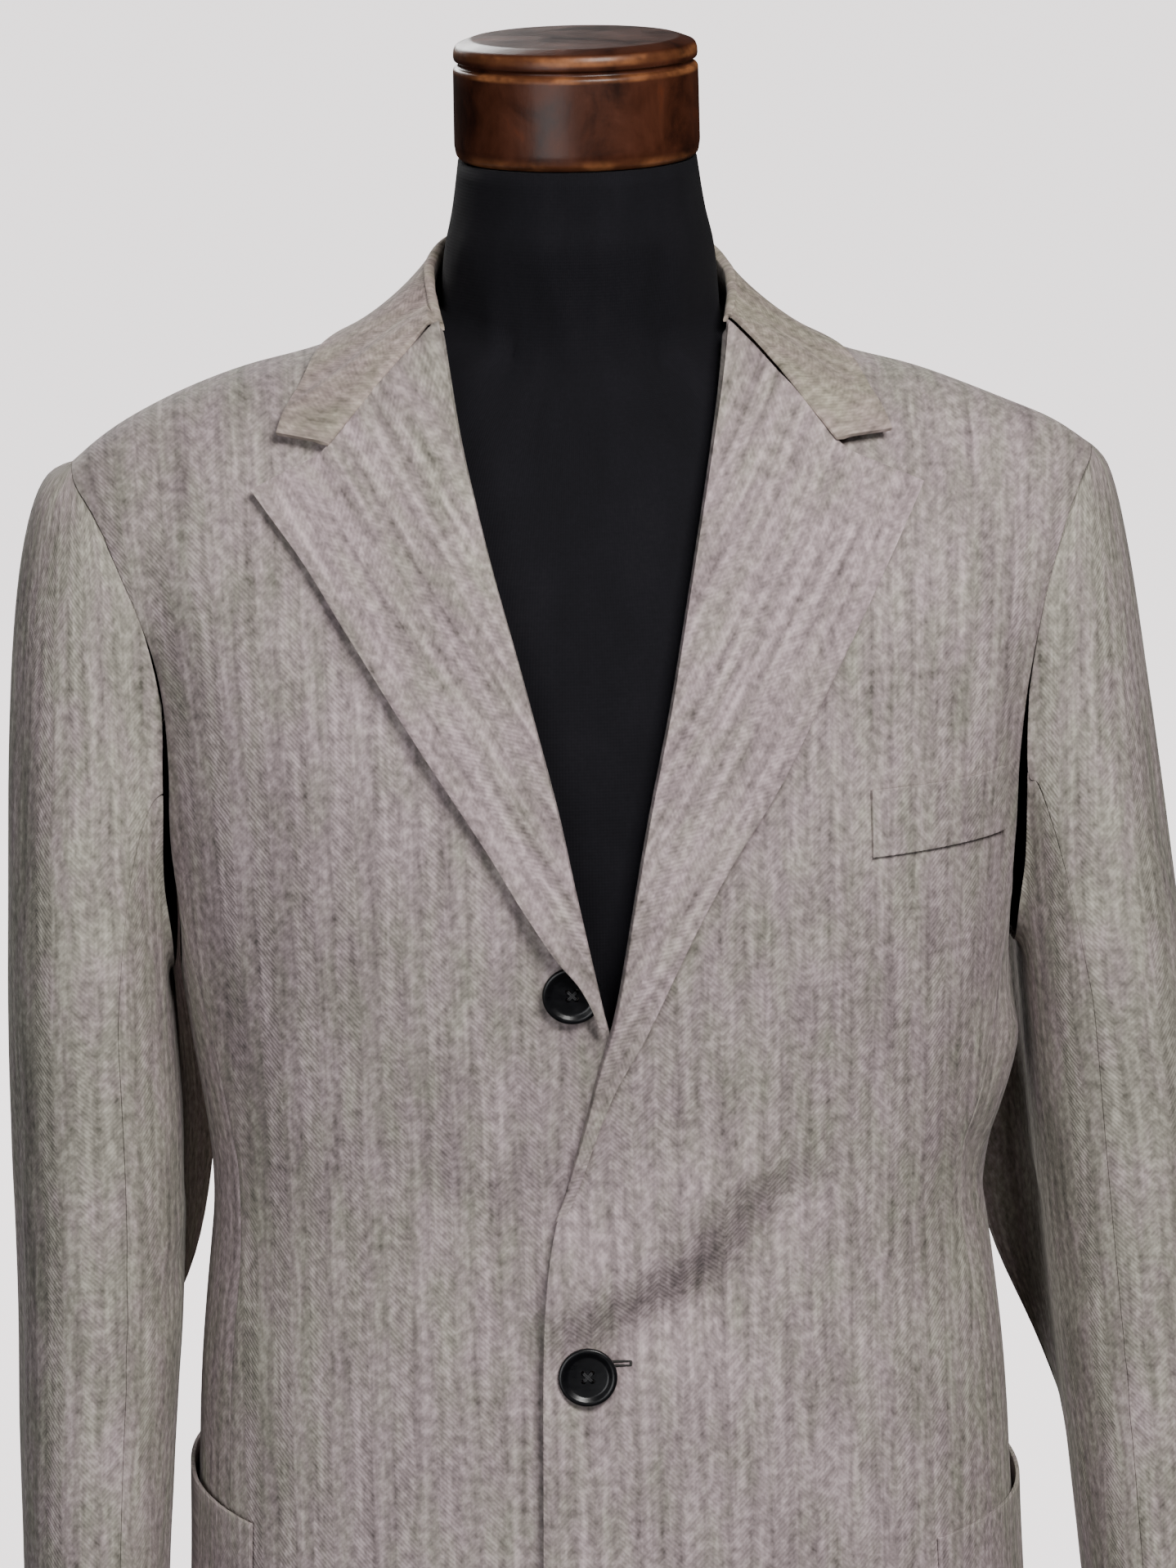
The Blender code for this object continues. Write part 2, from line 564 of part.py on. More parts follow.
def collar_path(share, sign):
    """A section of half the collar: the fall from its edge up to the fold, then down the stand."""
    t = {name: read(COLLAR, name, share, "share") for name in COLLAR}
    lying = CLOTH + LYING * (2.0 - smooth_step(share, 0.05, 0.25)) + COLLAR_TIP * (1.0 - smooth_step(share, 0.0, 0.2))
    side, level = (-1, t["edge_run"]) if t["edge_run"] <= 2.0 else (1, 4.0 - t["edge_run"])
    shorter = COLLAR_SHORT * (1.0 - smooth_step(share, 0.0, 0.35)) if sign > 0 else 0.0
    edge = body_at(sign * (t["edge_x"] - shorter), level, side, lying)[0]
    lower = COLLAR_DROP * smooth_step(share, 0.0, 0.3) * smooth_step(1.0 - share, 0.0, 0.6) if sign > 0 else 0.0
    fold = Vector((sign * t["fold_x"], t["fold_y"], HEM_Z + t["fold_height"] - lower))
    flat = Vector((fold.x, fold.y, 0.0)).normalized()
    radius = COLLAR_FOLD_RADIUS
    fall_top = fold + flat * radius - Vector((0, 0, radius))
    middle = edge.lerp(fall_top, 0.50) - Vector((0, 0, COLLAR_SAG)) + flat * 0.001
    notch_x, notch_height = read(NOTCH, "x", sign, "side"), read(NOTCH, "height", sign, "side")
    corner = body_at(sign * (notch_x + 0.0006), level_of(sign * notch_x, notch_height) + 0.006, -1, lying)[0]
    points = []
    for k in range(6):
        f = k / 5.0
        p = edge * (1 - f)**2 + middle * (2 * f * (1 - f)) + fall_top * f**2
        if share == 0.0 and 0 < k < 5:
            p = corner.lerp(fall_top, (k - 1) / 4.0)
        points.append(lift_clear(p, lying))
    points.append(fold + flat * radius * 0.7 - Vector((0, 0, radius * 0.3)))
    points.append(fold)
    points.append(fold - flat * radius * 0.7 - Vector((0, 0, radius * 0.3)))
    inside = fold - flat * radius - Vector((0, 0, radius))
    points.append(inside)
    for part in (0.5, 1.0):
        drop = t["stand"] * part
        points.append(inside + flat * drop * t["splay"] * part - Vector((0, 0, drop)))
    return points


def make_collar():
    rows = [collar_path(share, -1) for share in COLLAR_SECTIONS[:-1]]
    rows += [collar_path(share, 1) for share in reversed(COLLAR_SECTIONS)]
    bm = bmesh.new()
    grid = [[bm.verts.new(p) for p in row] for row in rows]
    for low, high in zip(grid, grid[1:]):
        for c in range(len(low) - 1):
            bm.faces.new((low[c], low[c + 1], high[c + 1], high[c]))
    bm.normal_update()
    up = 1.0 if grid[len(grid) // 2][7].normal.z > 0 else -1.0
    outer = [[v.co.copy() for v in row] for row in grid]
    inner = [[v.co - v.normal * up * CLOTH for v in row] for row in grid]
    bm.free()
    return wall("collar", outer, inner)


def patch(name, place, cols, rows, thickness, bulge):
    """A piece that lies on the cloth; place(u, v, out) is a point over the cloth at its share u, v."""
    outer = [[place(u, v, SEAM + bulge(u, v) + thickness) for u in cols] for v in rows]
    inner = [[place(u, v, SEAM + bulge(u, v)) for u in cols] for v in rows]
    return wall(name, outer, inner)


WELT = {"inner": 0.1170, "outer": 0.1800, "top": 0.5350, "bottom": 0.5050}


def make_welt():
    def place(u, v, out):
        x = WELT["inner"] + (WELT["outer"] - WELT["inner"]) * u
        height = WELT["bottom"] + (WELT["top"] - WELT["bottom"]) * v
        return front_at(x, level_of(x, height), 1, out)[0]
    return patch("breast_welt", place, [i / 8.0 for i in range(9)], (0.0, 0.33, 0.67, 1.0), 0.0022,
                 lambda u, v: 0.0012 * v * v * math.sin(math.pi * u))


POCKET = {                   # a patch pocket wraps the side; angles as in ring_at
    "side":        (-1, 1),
    "front_angle": (57.0, 47.0),
    "back_angle":  (127.0, 122.0),
    "mouth_front": (0.1955, 0.1830),
    "mouth_back":  (0.2035, 0.1880),
}
POCKET_BOTTOM = 0.026
POCKET_CORNER = 0.030
POCKET_WIDTH = 0.165
POCKET_COLUMNS = (0.0, 0.03, 0.08, 0.16, 0.28, 0.40, 0.52, 0.64, 0.76, 0.86, 0.93, 0.975, 1.0)
POCKET_ROWS = (0.0, 0.14, 0.28, 0.42, 0.56, 0.70, 0.82, 0.92, 1.0)


def make_pocket(sign):
    pocket = {name: column[0 if sign < 0 else 1] for name, column in POCKET.items()}

    def place(u, v, out):
        mouth = pocket["mouth_back"] - (pocket["mouth_back"] - pocket["mouth_front"]) * (1.0 - u)**2
        run = min(u, 1.0 - u) * POCKET_WIDTH
        low = POCKET_BOTTOM
        if run < POCKET_CORNER:
            low += POCKET_CORNER - math.sqrt(POCKET_CORNER**2 - (POCKET_CORNER - run)**2)
        angle = pocket["front_angle"] + (pocket["back_angle"] - pocket["front_angle"]) * u
        return ring_at(angle, low + (mouth - low) * v, sign, out)[0]

    def bulge(u, v):
        return 0.0006 + 0.0014 * v**3 * math.sin(math.pi * min(1.0, u)) ** 0.7 if 0.0 < u < 1.0 else 0.0006
    return patch("pocket_left" if sign > 0 else "pocket_right", place, POCKET_COLUMNS, POCKET_ROWS, CLOTH, bulge)


def armhole_loop(sign):
    """Points and normals round an armhole from the shoulder tip: down the front, under and up the back."""
    loop = [body_at(sign * outer_x(level, "front", sign), level, -1) for level in reversed(ARMHOLE_LEVELS)]
    loop += [side_point(share, underarm(share), sign) for share in SIDE_COLUMNS[1:-1]]
    loop += [body_at(sign * outer_x(level, "back", sign), level, 1) for level in ARMHOLE_LEVELS[:-1]]
    return loop


def sleeve_section(fall, sign, turns):
    """A hanging section, from its outermost point forwards round to its innermost and back."""
    side = "left" if sign > 0 else "right"
    x, y, thick, deep, inward = (read(SLEEVE, name, fall, "fall")
                                 for name in ("x_" + side, "y", "thick", "deep", "in_" + side))
    out = []
    for turn in turns:
        c, s = math.cos(turn), math.sin(turn)
        across = x + thick * math.copysign(abs(c) ** 0.9, c) - inward * max(0.0, -s) ** TURN_IN
        out.append(Vector((sign * across, y - deep * math.copysign(abs(s) ** 0.9, s), HEM_Z - fall)))
    return out


def sleeve_rows(sign):
    """Rows of points down a sleeve, with the wall's direction at each point of the first one."""
    loop = armhole_loop(sign)
    count = len(loop)
    top = [p for p, n in loop]
    steps = [(b - a).length for a, b in zip(top, top[1:] + top[:1])]
    turns = [2 * math.pi * sum(steps[:k]) / sum(steps) for k in range(count)]
    first = sleeve_section(SLEEVE["fall"][0], sign, turns)
    crown = {name: column[0 if sign < 0 else 1] for name, column in CROWN.items()}
    starts, facing = [], []
    for k, (point, normal) in enumerate(loop):
        upper = 0.5 + 0.5 * math.cos(turns[k])
        joined = smooth_step(upper, 0.25, 0.60)
        seam = (top[(k + 1) % count] - top[k - 1]).normalized()
        away = seam.cross(normal).normalized() * (1.0 if sign < 0 else -1.0)
        starts.append(point + away * SEAM * (1.0 + 0.6 * joined) + normal * LYING * (1.0 - joined))
        facing.append((normal * joined - away * 0.9 * (1.0 - joined) - normal * 0.4 * (1.0 - joined)).normalized())
    rows = []
    for i in range(SLEEVE_CROWN):
        t = i / SLEEVE_CROWN
        row = []
        for turn, begin, end in zip(turns, starts, first):
            upper = 0.5 + 0.5 * math.cos(turn)
            reach = (end - begin).length
            out = 0.006 + (crown["reach"] - 0.006) * upper
            a = begin + Vector((sign * out, 0, 0.0015 * upper - 0.002 * (1.0 - upper)))
            b = end + Vector((-sign * crown["lean"] * upper, 0, reach * (0.28 + (crown["hang"] - 0.28) * upper)))
            row.append(begin * (1 - t)**3 + a * (3 * t * (1 - t)**2) + b * (3 * t**2 * (1 - t)) + end * t**3)
        rows.append(row)
    falls = [SLEEVE["fall"][0] + (SLEEVE["fall"][-1] - SLEEVE["fall"][0]) * i / 10.0 for i in range(11)]
    return rows + [sleeve_section(fall, sign, turns) for fall in falls], facing


def make_sleeve(sign):
    rows, first_facing = sleeve_rows(sign)
    around = len(rows[0])
    bm = bmesh.new()
    grid = [[bm.verts.new(p) for p in row] for row in rows]
    for low, high in zip(grid, grid[1:]):
        for c in range(around):
            d = (c + 1) % around
            bm.faces.new((low[c], low[d], high[d], high[c]))
    bm.normal_update()
    middle = sum((v.co for v in grid[-1]), Vector()) / around
    facing = 1.0 if (grid[-1][0].co - middle).dot(grid[-1][0].normal) > 0 else -1.0
    normals = [[v.normal * facing for v in row] for row in grid]
    for i, weight in enumerate((1.0, 0.55, 0.2)):
        normals[i] = [(n * (1.0 - weight) + m * weight).normalized() for n, m in zip(normals[i], first_facing)]
    bm.free()
    name = "left" if sign > 0 else "right"
    spans = {"sleeve_top_": range(-SLEEVE_HALF, SLEEVE_HALF + 1),
             "sleeve_under_": range(SLEEVE_HALF, around - SLEEVE_HALF + 1)}
    for part, span in spans.items():
        picked = []
        for i, (row, row_normals) in enumerate(zip(rows, normals)):
            line = [(row[c % around], row_normals[c % around]) for c in span]
            for edge, inward in ((0, 1), (-1, -2)):
                behind = (edge == 0) == (part == "sleeve_top_")
                apart = SEAM_BENT if i < 4 or (behind and i < SLEEVE_CROWN + 3) else SEAM
                step = (line[inward][0] - line[edge][0]).normalized() * apart * 0.5
                line[edge] = (line[edge][0] + step, line[edge][1])
            picked.append(line)
        wall(part + name, *thin(picked))


def make_button(name, x, height, sign, lift):
    base, normal = front_at(x, level_of(x, height), sign, lift)
    r, t, k = BUTTON_RADIUS, BUTTON_THICK, BUTTON_SHANK
    profile = ((0.0, 0.0), (r * 0.22, 0.0), (r * 0.26, k), (r * 0.80, k), (r * 0.97, k + t * 0.3),
               (r, k + t * 0.6), (r * 0.95, k + t * 0.92), (r * 0.86, k + t), (r * 0.78, k + t * 0.86),
               (r * 0.70, k + t * 0.62), (0.0, k + t * 0.60))
    return turned(name, profile, "horn", 18, base, normal)


def make_form():
    """The torso and neck in one: the body's surface moved in, with flat ends at the armholes."""
    around = 40
    bm = bmesh.new()
    rings = []
    lower = [FORM_BOTTOM + (CHEST - FORM_BOTTOM) * i / 8.0 for i in range(9)]
    for height in lower:
        ring = []
        for k in range(around):
            turn = 360.0 * k / around
            sign = 1 if turn < 180 else -1
            ring.append(ring_at(turn if sign > 0 else 360.0 - turn, height, sign, folds=0.0)[0])
        rings.append(ring)
    centre = Vector((0, 0, HEM_Z + CHEST))

    def hit(direction):
        low, high = 0.0, 0.5
        for _ in range(40):
            middle = (low + high) / 2
            p = direction * middle
            height = CHEST + p.z
            side = -1 if p.y < 0 else 1
            inside = (abs(p.x) < read(BODY, "half_width", height) and height < ridge(p.x)
                      and surface_value(p.x, p.y, height, side, True) < 0)
            low, high = (middle, high) if inside else (low, middle)
        return direction * low

    neck_wide, neck_deep = NECK["half_width"][0], NECK["half_depth"][0]
    columns = []
    for k in range(around):
        start = rings[-1][k] - centre
        heading = Vector((start.x, start.y, 0)).normalized()
        neck = 1.0 / math.sqrt((heading.x / neck_wide)**2 + (heading.y / neck_deep)**2)

        def ray(rise):
            return hit(heading * math.cos(rise) + Vector((0, 0, math.sin(rise))))
        low, high = 0.2, math.pi / 2 - 0.01
        for _ in range(30):
            middle = (low + high) / 2
            p = ray(middle)
            low, high = (middle, high) if math.hypot(p.x, p.y) > neck * NECK_BASE else (low, middle)
        columns.append([centre + ray(low * (i / 9.0)) for i in range(1, 10)])
    rings += [[columns[k][i] for k in range(around)] for i in range(9)]
    grid = [[bm.verts.new(p) for p in ring] for ring in rings]
    for a, b in zip(grid, grid[1:]):
        for c in range(around):
            d = (c + 1) % around
            bm.faces.new((a[c], a[d], b[d], b[c]))
    bm.normal_update()
    facing = 1.0 if grid[0][0].normal.dot(grid[0][0].co - Vector((0, 0, grid[0][0].co.z))) > 0 else -1.0
    moved = []
    for i, ring in enumerate(grid):
        line = []
        for v in ring:
            n = v.normal * facing
            if i == 0:
                n = Vector((n.x, n.y, 0.0)).normalized()
            height = v.co.z - HEM_Z
            crest = smooth_step(height - ridge(v.co.x), -0.030, -0.006) if height > CHEST else 0.0
            crest *= 1.0 - smooth_step(abs(v.co.y), 0.014, 0.036)
            p = v.co - n * (CLOTH + FORM_SEAT * crest + FORM_CLEARANCE * (1.0 - crest))
            if height > CHEST - ARMHOLE_DIP - 0.02:
                limit = read(ARMHOLE, "front", p.z - HEM_Z) - 0.0055
                p.x = math.copysign(min(abs(p.x), limit), p.x)
            line.append(p)
        moved.append(line)
    bm.free()
    for height, wide, deep in zip(NECK["height"], NECK["half_width"], NECK["half_depth"]):
        ring = []
        for k in range(around):
            heading = Vector((moved[8][k].x, moved[8][k].y, 0)).normalized()
            reach = 1.0 / math.sqrt((heading.x / wide)**2 + (heading.y / deep)**2)
            ring.append(Vector((heading.x * reach, heading.y * reach, HEM_Z + height)))
        moved.append(ring)
    return loft("form_torso", moved, "jersey", sharp=50.0)


def make_cap():
    r, low, high = CAP_RADIUS, HEM_Z + NECK_TOP + SEAM, HEM_Z + CAP_TOP
    profile = ((0.0, low), (r * 0.93, low), (r * 0.985, low + 0.0015), (r, low + 0.005),
               (r * 0.992, high - 0.0125), (r * 0.955, high - 0.0110), (r * 0.955, high - 0.0095),
               (r * 0.99, high - 0.0080), (r * 0.985, high - 0.0045), (r * 0.93, high - 0.0010),
               (r * 0.84, high), (0.0, high + 0.0015))
    return turned("neck_cap", profile, "lacquered_wood", 28)


def make_stand():
    seat = HEM_Z + FORM_BOTTOM - SEAM
    turned("stand_post", ((0.0, BASE_THICK + SEAM), (0.034, BASE_THICK + SEAM), (0.034, BASE_THICK + 0.008),
                          (POST_RADIUS, BASE_THICK + 0.018), (POST_RADIUS, seat - 0.014), (0.040, seat - 0.006),
                          (0.040, seat), (0.0, seat)), "black_metal", 24)
    turned("stand_base", ((0.0, 0.0), (BASE_RADIUS - 0.004, 0.0), (BASE_RADIUS, 0.004),
                          (BASE_RADIUS, 0.012), (BASE_RADIUS - 0.006, 0.017), (0.060, BASE_THICK),
                          (0.0, BASE_THICK)), "black_metal", 36)


def main():
    for old in list(bpy.data.objects):
        bpy.data.objects.remove(old, do_unlink=True)
    for sign in (-1, 1):
        make_front(sign)
        make_side(sign)
        make_back(sign)
        make_lapel(sign)
        make_pocket(sign)
        make_sleeve(sign)
    make_collar()
    make_welt()
    make_button("button_upper", -0.0157, 0.4519, -1, LYING)
    make_button("button_lower", -0.0122, 0.2751, 1, LYING * 1.6)
    make_form()
    make_cap()
    make_stand()


main()
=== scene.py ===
"""The looks of a tweed blazer on a dress form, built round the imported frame.

Metres, +Z up. The wearer faces -Y, so the wearer's left is +X. Heights called "height" are measured
up from the jacket's hem. Every cloth piece starts from its own solid, gets a smooth skin through the
same points, then its creases, rounded edges and a UV map that runs with the weave.
"""

import math

import bmesh
import bpy
import numpy as np
from mathutils import Matrix, Vector, noise
from mathutils.bvhtree import BVHTree


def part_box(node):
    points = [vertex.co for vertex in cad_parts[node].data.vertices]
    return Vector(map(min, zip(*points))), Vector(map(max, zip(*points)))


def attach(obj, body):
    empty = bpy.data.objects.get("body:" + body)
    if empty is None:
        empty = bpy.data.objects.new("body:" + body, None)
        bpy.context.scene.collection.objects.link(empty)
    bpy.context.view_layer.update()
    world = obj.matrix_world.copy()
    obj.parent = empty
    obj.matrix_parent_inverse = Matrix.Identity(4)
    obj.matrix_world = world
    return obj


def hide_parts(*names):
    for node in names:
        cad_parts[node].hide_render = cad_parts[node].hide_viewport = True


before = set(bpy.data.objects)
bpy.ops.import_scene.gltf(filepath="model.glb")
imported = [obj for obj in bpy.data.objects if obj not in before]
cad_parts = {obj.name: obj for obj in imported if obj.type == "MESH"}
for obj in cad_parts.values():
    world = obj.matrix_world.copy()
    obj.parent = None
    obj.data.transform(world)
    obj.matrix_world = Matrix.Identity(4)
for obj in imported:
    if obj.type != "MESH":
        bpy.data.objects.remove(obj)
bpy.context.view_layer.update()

bl_info = {
    "name": "Tweed blazer on a dress form",
    "version": (1, 0, 0),
    "blender": (4, 5, 0),
    "location": "View3D > Sidebar > Blazer",
    "description": "Cloth, wood, horn and metal for a blazer on a dress form",
    "category": "Object",
}

# The worn body, as far as the weave and the creases need it
HEM_Z = 0.130
CHEST = 0.490
ROUNDNESS = 2.4
HALF_WIDTH = {
    "height": (0.0, 0.07, 0.14, 0.25, 0.335, 0.42, 0.49, 0.56, 0.62, 0.667, 0.76),
    "across": (0.2, 0.195, 0.19, 0.1845, 0.1765, 0.1865, 0.1955, 0.207, 0.228, 0.245, 0.252),
}
CHEST_DEPTH = (0.133, 0.121)  # in front and behind
LAPEL_GRAIN = math.radians(31.0)  # the lean of its threads from upright
COLLAR_ROUND = 0.075  # where the collar's threads keep their spacing
COLLAR_FALL = 0.8  # how far they drop for each metre outwards
COLLAR_MIDDLE_Y = -0.004
SIDE_RUN = 0.30  # sets the side panels' weave apart from the fronts'
SLEEVE_ROUND = (0.036, 0.072)  # half of a sleeve's section, across and deep
SLEEVE_LEVELS = 0.03  # its middle is found at heights this far apart
SLEEVE_BAND = 0.025  # from the points within this of each
TURNED_IN = 3.2  # how steeply a sleeve's back turns in behind the body

# How the cloth stands off, closes and dips at its edges. A pair of heights or depths is where
# it starts, and how much further on it is in full
LAPEL_OPEN = 0.0032  # at most, along the outer edge
LAPEL_OPEN_SHARE = 0.16  # and at most this share of the lapel's width
LAPEL_TOP = 0.070
COLLAR_OPEN = 0.0026
COLLAR_END = (0.720, 0.035)
FRONT_OPEN = 0.0048  # the lapping edge below the upper button
FRONT_OPEN_TOP = (0.370, 0.060)
FRONT_OPEN_WIDTH = 0.015
WELT_DOWN = 0.0007  # a welt's lower edge is pressed in
WELT_OPEN = 0.0018  # its upper corner towards the arm stands off
SEAM_REACH = 0.0045  # cloth nearer than this to the next piece is drawn to it
SEAM_SHARE = 0.55
BEHIND_REACH = 0.0100  # the same reach behind the armhole
BEHIND_DEPTH = 0.02
BEHIND_HEIGHT = (0.46, 0.03)
ARMHOLE_WIDTH = 0.0065  # how wide the cloth dips beside the armhole's seam
ARMHOLE_SEEN = 0.03  # no dip further off than this
ARMHOLE_FRONT = (0.025, 0.030)
ARMHOLE_DIP = {
    "height": (0.440, 0.480, 0.520, 0.640, 0.680),
    "depth": (0.0010, 0.0024, 0.0012, 0.0006, 0.0003),
}

# How a smooth skin is made from a solid
MERGE = 0.00001
SHARP = math.radians(50.0)
QUAD_ANGLES = {"angle_face_threshold": math.radians(40), "angle_shape_threshold": math.radians(60)}
PULLS = 4  # passes that draw a smooth skin back through its points
UV_NAME = "weave"

FINISHES = {  # tint and strength of the columns, where the cloth lies another way
    "collar": ("tweed_collar", (1.05, 1.01, 0.93), 0.6),
    "lapel": ("tweed_lapel", (1.03, 1.01, 1.02), 1.15),
}
FINE = ("front", "lapel", "collar", "breast")  # pieces that get one more level

FRONT_CREASES = (
    # x, height, slope in degrees, half length, half width, depth
    (0.014, 0.294, 20, 0.044, 0.014, -0.0062),
    (0.062, 0.327, 46, 0.042, 0.013, -0.0044),
    (0.018, 0.336, 34, 0.058, 0.018, 0.0052),
    (0.085, 0.3, 52, 0.05, 0.012, -0.001),
    (0.176, 0.372, 80, 0.055, 0.009, -0.0022),
    (0.215, 0.65, 40, 0.016, 0.004, -0.0012),
    (0.222, 0.645, 130, 0.012, 0.003, 0.0009),
    (-0.212, 0.648, 50, 0.018, 0.004, -0.0012),
    (0.05, 0.43, 62, 0.06, 0.016, -0.0014),
    (-0.04, 0.372, 92, 0.06, 0.012, -0.0016),
    (-0.195, 0.6, 84, 0.075, 0.01, -0.0018),
    (-0.176, 0.47, 88, 0.12, 0.012, -0.0014),
    (0.158, 0.36, 82, 0.07, 0.01, -0.0018),
    (0.186, 0.56, 96, 0.08, 0.01, -0.0012),
    (-0.11, 0.25, 80, 0.11, 0.016, -0.001),
    (0.11, 0.16, 96, 0.12, 0.02, -0.0012),
    (-0.06, 0.14, 86, 0.11, 0.02, -0.0012),
)
BACK_CREASES = (
    (0.075, 0.35, 58, 0.075, 0.014, -0.002),
    (-0.085, 0.345, 118, 0.08, 0.015, -0.0022),
    (0.03, 0.372, 30, 0.04, 0.011, -0.0014),
    (-0.028, 0.38, 155, 0.045, 0.011, -0.0012),
    (0.165, 0.545, 82, 0.085, 0.012, -0.0016),
    (-0.168, 0.56, 97, 0.08, 0.012, -0.0018),
    (0.1, 0.16, 93, 0.13, 0.02, -0.0016),
    (-0.11, 0.18, 88, 0.12, 0.018, -0.0014),
    (0.05, 0.64, 15, 0.05, 0.012, -0.001),
)
SLEEVE_CREASES = (
    # turn in degrees forward from the outermost line, height, slope, half length, half width, depth
    (20, 0.3, 84, 0.12, 0.012, -0.0014),
    (60, 0.33, 40, 0.03, 0.008, -0.0012),
    (75, 0.3, 30, 0.028, 0.008, -0.0014),
    (95, 0.27, 20, 0.026, 0.007, -0.0012),
    (-40, 0.42, 95, 0.12, 0.012, -0.0012),
    (-70, 0.22, 80, 0.09, 0.012, -0.0012),
    (35, 0.54, 100, 0.06, 0.01, -0.0012),
    (-20, 0.13, 92, 0.08, 0.012, -0.001),
    (150, 0.3, 20, 0.03, 0.009, -0.0014),
    (200, 0.33, 160, 0.03, 0.009, -0.0012),
)
TROUGH_RIDGE = (0.45, 1.9)  # the ridge beside a trough: share of its depth, half widths away
RIPPLE = 0.00030  # the slight unevenness of worn cloth
RIPPLE_LENGTH = 0.045
CREASE_FADE = (0.010, 0.040)  # a body's creases start this far from its side
SHOULDER_RISE = 0.22  # over this height above the chest the cloth turns to face up
SHOULDER_TURN = (1.2, 6.0)
SLEEVE_FADE = (0.50, 0.10)  # a sleeve's creases end above this height

# Round floor that runs up into a wall through a wide curve
WALL_AWAY = 26.0
WALL_TALL = 14.0
WALL_CURVE = 6.0

# The camera stands a little to the wearer's right and looks slightly down
PICTURE_TALL = 1918
CAMERA_DROP = math.radians(13.0)
CAMERA_TURN = math.radians(-2.5)
CAMERA_ROLL = math.radians(-1.2)
CAMERA_AWAY = 3.0
FRAME_HEIGHT = 0.710  # what the picture's height spans at the object
AIM_Z = 0.645
AIM_PIXEL_X = 719 - 722  # the object's middle line, from the picture's middle
SENSOR = 36.0

LIGHT_AIM = (0.0, 0.0, 0.62)
LIGHTS = {  # by setting: place, size and colour
    "key": ((0.75, -2.00, 2.35), (1.0, 0.9), (1.0, 0.985, 0.965)),
    "fill": ((-1.30, -2.6, 0.60), (1.6, 1.6), (0.97, 0.985, 1.0)),
    "back": ((-0.9, 2.6, 2.0), (1.4, 1.4), (1.0, 0.99, 0.98)),
}
ROOM_COLOUR = (0.96, 0.97, 1.0, 1.0)

BUTTON_HOLES = 4
BUTTON_SPREAD = 0.20  # from the middle to a sewing hole, of the radius
STITCH_RADIUS = 0.00035
STITCH_POINTS = 13
STITCH_SIDES = 8
HOLE_POINTS = 56  # turns of thread round the buttonhole
HOLE_REACH = 0.00085  # half of its width
HOLE_THREAD = 0.00055
CAP_RIM = (
    # share of the neck cap's radius, drop from its top
    (0.995, 0.0145), (0.985, 0.0132), (0.955, 0.0126), (0.955, 0.0108), (0.985, 0.0102),
    (0.992, 0.0088), (0.990, 0.0058), (0.970, 0.0034), (0.850, 0.0010),
)


def number(name, description, default, unit="LENGTH"):
    return bpy.props.FloatProperty(name=name, description=description, default=default, unit=unit)


def colour(name, description, default):
    return bpy.props.FloatVectorProperty(name=name, description=description, default=default,
                                         subtype="COLOR", min=0.0, max=1.0)


class ClothSettings(bpy.types.PropertyGroup):
    """The tweed's weave and colours."""
    column: number("Column", "Width of one herringbone column", 0.0100)
    rib: number("Twill rib", "Distance between the slanting ribs", 0.0024)
    streak: number("Streak", "Width of an upright streak of one shade", 0.0036)
    streak_run: number("Streak run", "How far a streak keeps its shade", 0.060)
    nep: number("Nep", "Size of the light and dark specks", 0.0036)
    light: colour("Light yarn", "Colour of the lightest yarn", (0.560, 0.487, 0.465))
    middle: colour("Middle yarn", "The cloth's main grey", (0.290, 0.249, 0.236))
    dark: colour("Dark yarn", "Colour of the darkest yarn", (0.100, 0.087, 0.080))
    nap: number("Nap", "Height of the weave's relief", 0.00022)
    edge: number("Edge", "How far a cut edge is rounded", 0.00050)


class TrimSettings(bpy.types.PropertyGroup):
    """Buttons, neck cap and dress form."""
    rim: number("Button rim", "Width of the raised rim", 0.0028)
    hole: number("Button hole", "Radius of each sewing hole", 0.00115)
    buttonhole: number("Buttonhole", "Length of the sewn buttonhole", 0.0215)
    horn: colour("Horn", "The buttons' colour", (0.0045, 0.0045, 0.0055))
    wood: colour("Wood", "The neck cap's lacquer", (0.046, 0.0135, 0.0065))
    worn: colour("Worn edge", "Wood where the lacquer is rubbed", (0.30, 0.115, 0.045))
    jersey: colour("Jersey", "The form's cover", (0.0062, 0.0058, 0.0080))


class StageSettings(bpy.types.PropertyGroup):
    """Floor and light."""
    floor: colour("Floor", "Colour of the floor and the wall behind", (0.80, 0.750, 0.752))
    key: number("Key light", "Power of the softbox above and in front", 99.0, "POWER")
    fill: number("Fill light", "Power of the wide light at the wearer's right", 40.0, "POWER")
    glow: number("Wall glow", "How brightly the floor and the wall shine", 2.7, "NONE")
    back: number("Back light", "Power of the soft light behind the wearer", 85.0, "POWER")
    air: number("Room light", "Strength of the light from all round", 0.018, "NONE")


